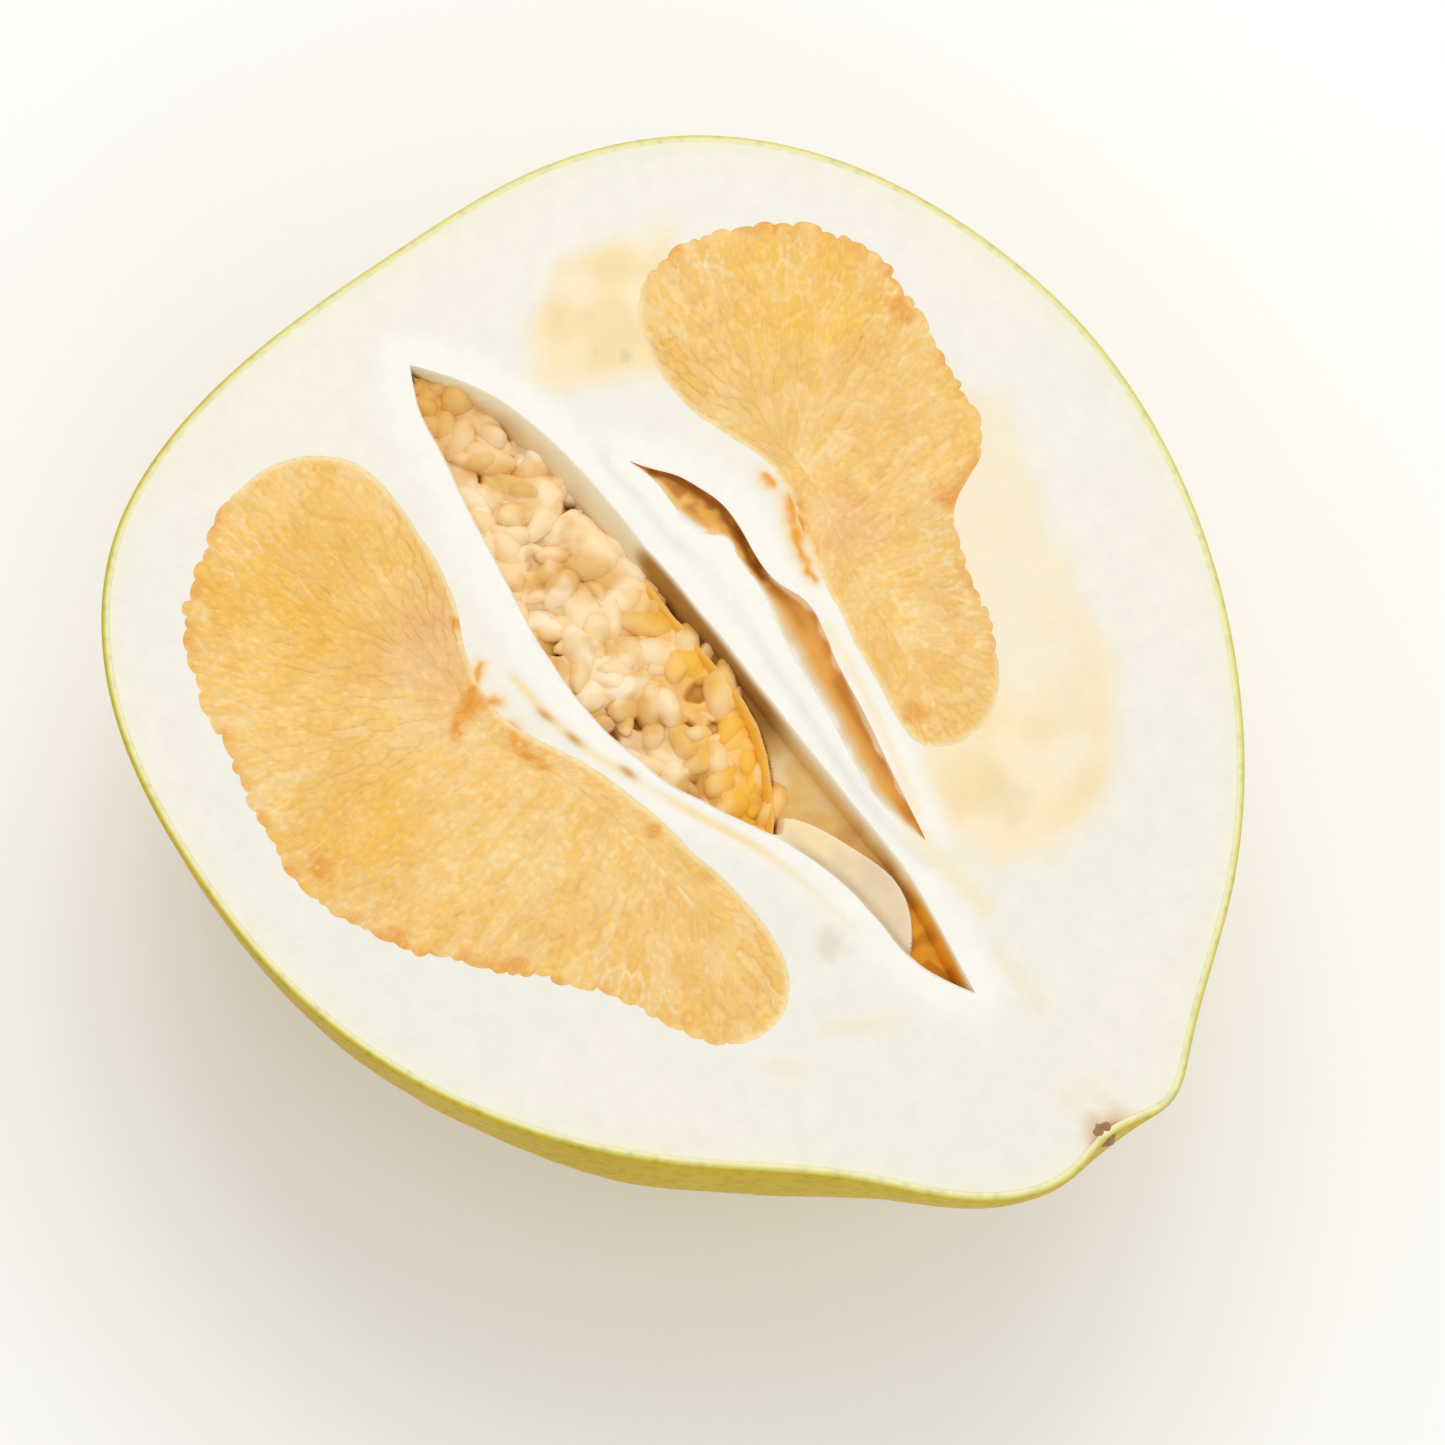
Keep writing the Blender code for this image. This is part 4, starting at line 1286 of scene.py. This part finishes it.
# a few sac shapes: fat at one end, drawn out at the other, slightly crooked
sacShapes = bpy.data.collections.new("sac shapes")
bpy.context.scene.collection.children.link(sacShapes)
for variant in range(looseSacs["variants"]):
    bm = bmesh.new()
    bmesh.ops.create_icosphere(bm, subdivisions=2, radius=1)
    co = np.array([v.co[:] for v in bm.verts])
    draw = np.random.default_rng(60 + variant)
    taper = 1 - 0.25 * ramp(co[:, 0], -0.6, 1.0)
    crook = 0.15 * np.sin(co[:, 0] * 2 + variant * 1.7)
    shape = np.stack([co[:, 0], co[:, 1] * taper + crook, co[:, 2] * taper * 0.85], axis=1)
    for _ in range(looseSacs["presses"]):  # pressed flat against its neighbours
        facing = draw.normal(size=3)
        facing /= np.linalg.norm(facing)
        beyond = np.clip(shape @ facing - draw.uniform(0.42, 0.72), 0, None)
        shape -= 0.75 * beyond[:, None] * facing
    for v, place in zip(bm.verts, shape):
        v.co = Vector(place) * 0.5
    mesh = bpy.data.meshes.new("sac%d" % variant)
    bm.to_mesh(mesh)
    bm.free()
    shapeObject = bpy.data.objects.new("sac%d" % variant, mesh)
    shapeObject.hide_render = True
    sacShapes.objects.link(shapeObject)

scatter = bpy.data.node_groups.new("scatter sacs", "GeometryNodeTree")
scatter.is_modifier = True
for label, kind, value in (
    ("Bed", "NodeSocketGeometry", None), ("Shapes", "NodeSocketCollection", None),
    ("Finish", "NodeSocketMaterial", None),
    ("Spacing", "NodeSocketFloat", 0.0023), ("Length", "NodeSocketFloat", 0.005),
    ("Width", "NodeSocketFloat", 0.0027),
    ("Tilt", "NodeSocketFloat", 0.5), ("Lift", "NodeSocketFloat", 0.0006), ("Seed", "NodeSocketInt", 1),
):
    socket = scatter.interface.new_socket(label, in_out="INPUT", socket_type=kind)
    if value is not None:
        socket.default_value = value
scatter.interface.new_socket("Sacs", in_out="OUTPUT", socket_type="NodeSocketGeometry")
given = addNode(scatter, "NodeGroupInput").outputs
upward = addNode(scatter, "GeometryNodeInputNormal")
upPart = addNode(scatter, "ShaderNodeSeparateXYZ", {0: upward.outputs[0]})
facesUp = addNode(
    scatter, "FunctionNodeCompare", {0: upPart.outputs["Z"], 1: 0.4}, data_type="FLOAT",
    operation="GREATER_THAN"
)
room = addNode(scatter, "GeometryNodeInputNamedAttribute", {"Name": "room"}, data_type="FLOAT")
spots = addNode(scatter, "GeometryNodeDistributePointsOnFaces", {
    "Mesh": given["Bed"], "Selection": facesUp.outputs[0], "Distance Min": given["Spacing"],
    "Density Max": 400000.0, "Density Factor": room.outputs[0], "Seed": given["Seed"],
}, distribute_method="POISSON")
tiltLow = addNode(scatter, "ShaderNodeMath", {0: given["Tilt"], 1: -1.0}, operation="MULTIPLY").outputs[0]
turnLow = addNode(scatter, "ShaderNodeCombineXYZ", {0: -3.1, 1: tiltLow, 2: -1.6})
turnHigh = addNode(scatter, "ShaderNodeCombineXYZ", {0: 3.1, 1: given["Tilt"], 2: 1.6})
turns = addNode(
    scatter, "FunctionNodeRandomValue", {0: turnLow.outputs[0], 1: turnHigh.outputs[0], "Seed": given["Seed"]},
    data_type="FLOAT_VECTOR"
)
sizes = addNode(scatter, "FunctionNodeRandomValue", {2: 0.6, 3: 1.4, "Seed": 17}, data_type="FLOAT")
shapeSize = addNode(scatter, "ShaderNodeCombineXYZ", {0: given["Length"], 1: given["Width"], 2: given["Width"]})
finalSize = addNode(
    scatter, "ShaderNodeVectorMath", {0: shapeSize.outputs[0], "Scale": sizes.outputs[1]}, operation="SCALE"
)
shapes = addNode(
    scatter, "GeometryNodeCollectionInfo",
    {"Collection": given["Shapes"], "Separate Children": True, "Reset Children": True}
)
placed = addNode(scatter, "GeometryNodeInstanceOnPoints", {
    "Points": spots.outputs["Points"], "Instance": shapes.outputs[0], "Pick Instance": True,
    "Rotation": turns.outputs[0], "Scale": finalSize.outputs[0],
})
tones = addNode(scatter, "FunctionNodeRandomValue", {2: 0.0, 3: 1.0, "Seed": 5}, data_type="FLOAT")
toned = addNode(
    scatter, "GeometryNodeStoreNamedAttribute",
    {"Geometry": placed.outputs[0], "Name": "tone", "Value": tones.outputs[1]}, data_type="FLOAT",
    domain="INSTANCE"
)
liftBy = addNode(scatter, "ShaderNodeCombineXYZ", {2: given["Lift"]})
lifted = addNode(
    scatter, "GeometryNodeTranslateInstances",
    {"Instances": toned.outputs[0], "Translation": liftBy.outputs[0], "Local Space": False}
)
joined = addNode(scatter, "GeometryNodeJoinGeometry")
scatter.links.new(given["Bed"], joined.inputs[0])
scatter.links.new(lifted.outputs[0], joined.inputs[0])
real = addNode(scatter, "GeometryNodeRealizeInstances", {"Geometry": joined.outputs[0]})
smooth = addNode(scatter, "GeometryNodeSetShadeSmooth", {0: real.outputs[0]})
finished = addNode(
    scatter, "GeometryNodeSetMaterial", {"Geometry": smooth.outputs[0], "Material": given["Finish"]}
)
addNode(scatter, "NodeGroupOutput", {0: finished.outputs[0]})


def scattered(name, bed, values):
    # the bed with its sacs as one plain mesh
    modifier = bed.modifiers.new("sacs", "NODES")
    modifier.node_group = scatter
    for item in scatter.interface.items_tree:
        if item.item_type == "SOCKET" and item.in_out == "INPUT" and item.name in values:
            modifier[item.identifier] = values[item.name]
    evaluated = bed.evaluated_get(bpy.context.evaluated_depsgraph_get())
    mesh = bpy.data.meshes.new_from_object(evaluated)
    bed.modifiers.remove(modifier)
    bed.data = mesh
    mesh.name = name
    return bed


bed = makePiece(
    "sacs_in_core", bedPlaces, bedFaces, [sacFinish],
    extras={"tone": np.full(len(bedPlaces), 0.5), "room": (1 - 0.8 * onLump) * (1 - inPocket)}
)
bed = scattered("sacs_in_core", bed, {
    "Shapes": sacShapes, "Finish": sacFinish, "Spacing": looseSacs["spacing"] / 1000,
    "Length": looseSacs["length"] / 1000, "Width": looseSacs["width"] / 1000,
    "Tilt": looseSacs["tilt"], "Lift": looseSacs["lift"] / 1000, "Seed": looseSacs["seed"],
})
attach(bed, "root")
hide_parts("loose_sacs")
print("loose sacs:", len(bed.data.polygons), "faces")
for shapeObject in list(sacShapes.objects):
    bpy.data.objects.remove(shapeObject)
bpy.data.collections.remove(sacShapes)


# membranes: thin skins that stand between the sacs and the bare part of the core

membranes = {"colour": "#FFE3A2", "inside": "#F4B22E", "thick": 0.9, "top": -2.3, "bottom": -7.5}
membraneFinish, tree = newFinish("citrus membrane")  # a dried skin: thin, pale and dull
where = addNode(tree, "ShaderNodeTexCoord").outputs["Object"]
fibres = addNode(tree, "ShaderNodeTexNoise", {"Vector": where, "Scale": 1000 / 1.5, "Detail": 4.0})
fade = addNode(
    tree, "ShaderNodeMapRange",
    {"Value": fibres.outputs["Fac"], "From Min": 0.35, "From Max": 0.65, "To Min": 0.0, "To Max": 0.6}
).outputs[0]
innerNode = addNode(tree, "ShaderNodeAttribute", attribute_name="inner")
twoTone = addNode(
    tree, "ShaderNodeMix",
    {"Factor": innerNode.outputs["Fac"], "A": membranes["colour"], "B": membranes["inside"]}, data_type="RGBA"
).outputs[2]
colour = addNode(
    tree, "ShaderNodeMix", {"Factor": fade, "A": twoTone, "B": "#F6BC48"}, data_type="RGBA"
).outputs[2]
shader = addNode(tree, "ShaderNodeBsdfPrincipled", {"Base Color": colour, "Roughness": 0.5, "IOR": 1.4})
addNode(tree, "ShaderNodeOutputMaterial", {"Surface": shader.outputs[0]})


def standingSkin(name, line, top, bottom, thick, lean):
    # a thin wall along a line, with a ragged upper edge
    normal = np.gradient(line, axis=0)
    normal = np.stack([-normal[:, 1], normal[:, 0]], axis=1)
    normal /= np.linalg.norm(normal, axis=1)[:, None]
    ends = np.sin(np.linspace(0, math.pi, len(line))) ** 0.5
    ragged = top + 0.45 * softNoise(line, 2.0, 131) + 0.2 * softNoise(line, 0.8, 132) - 2.0 * (1 - ends)
    rings = []
    for side, level in (
        (0.1, 0.0), (0.1, 0.5), (0.1, 0.93), (-0.1, 1.0), (-0.8, 0.86), (-0.9, 0.5), (-0.9, 0.0)
    ):
        height = bottom + (ragged - bottom) * level
        offset = side * thick + lean * (level - 1)
        rings.append(np.hstack([line + normal * offset, height[:, None]]))
    stack = np.stack(rings, axis=1)
    count, around = stack.shape[:2]
    ids = np.arange(count * around).reshape(count, around)
    faces = []
    for i in range(count - 1):
        for k in range(around):
            n = (k + 1) % around
            faces.append([int(ids[i, k]), int(ids[i, n]), int(ids[i + 1, n]), int(ids[i + 1, k])])
    faces.append(ids[0].tolist())
    faces.append(ids[-1][::-1].tolist())
    inner = np.tile([0, 0, 0, 0.6, 1, 1, 1], count)
    piece = makePiece(name, stack.reshape(-1, 3), faces, [membraneFinish], extras={"inner": inner})
    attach(piece, "root")
    return piece


standingSkin(
    "core_membrane", smoothCurve(core["sacTip"], 90)[4:] - middle, membranes["top"], membranes["bottom"],
    membranes["thick"], 1.2
)
print("membranes done")


# the dry stem stub in the notch

stem = {"end": (81.6, -2.6), "radius": 1.9, "length": 5.0}
stemFinish, tree = newFinish("dry stem scar")  # torn woody fibres: dull, pinkish brown, rough
where = addNode(tree, "ShaderNodeTexCoord").outputs["Object"]
wood = addNode(tree, "ShaderNodeTexNoise", {"Vector": where, "Scale": 1000 / 0.9, "Detail": 5.0})
colour = addNode(
    tree, "ShaderNodeMix", {"Factor": wood.outputs["Fac"], "A": "#6A4420", "B": "#C89A6C"}, data_type="RGBA"
).outputs[2]
bump = addNode(
    tree, "ShaderNodeBump", {"Height": wood.outputs["Fac"], "Strength": 0.6, "Distance": 0.0004}
).outputs[0]
shader = addNode(tree, "ShaderNodeBsdfPrincipled", {"Base Color": colour, "Roughness": 0.85, "Normal": bump})
addNode(tree, "ShaderNodeOutputMaterial", {"Surface": shader.outputs[0]})
bm = bmesh.new()
bmesh.ops.create_uvsphere(bm, u_segments=32, v_segments=20, radius=1)
for v in bm.verts:
    lump = 1 + 0.2 * float(softNoise(np.array([v.co[:]]) * 5, 2.2, 141)[0])
    v.co = Vector(
        (v.co.x * stem["length"] / 2 * lump, v.co.y * stem["radius"] * lump, v.co.z * stem["radius"] * lump)
    )
    v.co += Vector(
        (stem["end"][0] - middle[0] - stem["length"] / 2, stem["end"][1] - middle[1], -stem["radius"] * 0.86)
    )
    v.co.z = min(v.co.z, -0.02)
places = np.array([v.co[:] for v in bm.verts])
faces = [[v.index for v in f.verts] for f in bm.faces]
bm.free()
stub = makePiece("stem_scar", places, faces, [stemFinish])
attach(stub, "root")
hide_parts("stem_stub")
print("stem done")


# floor, light and camera

# each light: azimuth, elevation, distance, size, power
studio = {"floor": "#FFFFFE", "world": 0.765, "key": (228, 58, 1.1, 0.8, 3.3), "fill": (60, 40, 1.2, 0.9, 1.1)}
bpy.ops.mesh.primitive_plane_add(size=6)
floor = bpy.context.object
floor.name = "floor"
floorFinish, tree = newFinish("pale studio paper")
shader = addNode(
    tree, "ShaderNodeBsdfPrincipled",
    {"Base Color": studio["floor"], "Roughness": 0.9, "Specular IOR Level": 0.1}
)
addNode(tree, "ShaderNodeOutputMaterial", {"Surface": shader.outputs[0]})
floor.data.materials.append(floorFinish)

world = bpy.data.worlds.new("studio")
bpy.context.scene.world = world
world.use_nodes = True
world.node_tree.nodes["Background"].inputs["Color"].default_value = (1.0, 1.0, 1.0, 1)
world.node_tree.nodes["Background"].inputs["Strength"].default_value = studio["world"]


def addLight(name, azimuth, elevation, distance, size, power):
    data = bpy.data.lights.new(name, "AREA")
    data.shape = "DISK"
    data.size = size
    data.energy = power
    light = bpy.data.objects.new(name, data)
    a, e = math.radians(azimuth), math.radians(elevation)
    place = Vector((math.sin(a) * math.cos(e), -math.cos(a) * math.cos(e), math.sin(e))) * distance
    light.location = place
    light.rotation_euler = (-place).to_track_quat("-Z", "Y").to_euler()
    bpy.context.scene.collection.objects.link(light)


addLight("key", *studio["key"])
addLight("fill", *studio["fill"])

view = {
    "azimuth": 28, "elevation": 74, "roll": 20, "distance": 0.9, "lens": 158, "target": (-0.0005, -0.002, 0.066)
}
a, e = math.radians(view["azimuth"]), math.radians(view["elevation"])
back = Vector((math.sin(a) * math.cos(e), -math.cos(a) * math.cos(e), math.sin(e)))
cameraData = bpy.data.cameras.new("camera")
camera = bpy.data.objects.new("camera", cameraData)
bpy.context.scene.collection.objects.link(camera)
cameraData.lens = view["lens"]
cameraData.clip_start, cameraData.clip_end = 0.01, 20
aimed = (-back).to_track_quat("-Z", "Y").to_matrix().to_4x4()
rolled = aimed @ Matrix.Rotation(math.radians(view["roll"]), 4, "Z")
camera.matrix_world = Matrix.Translation(Vector(view["target"]) + back * view["distance"]) @ rolled
bpy.context.scene.camera = camera
bpy.context.scene.view_settings.view_transform = "Standard"
print("camera and lights done")
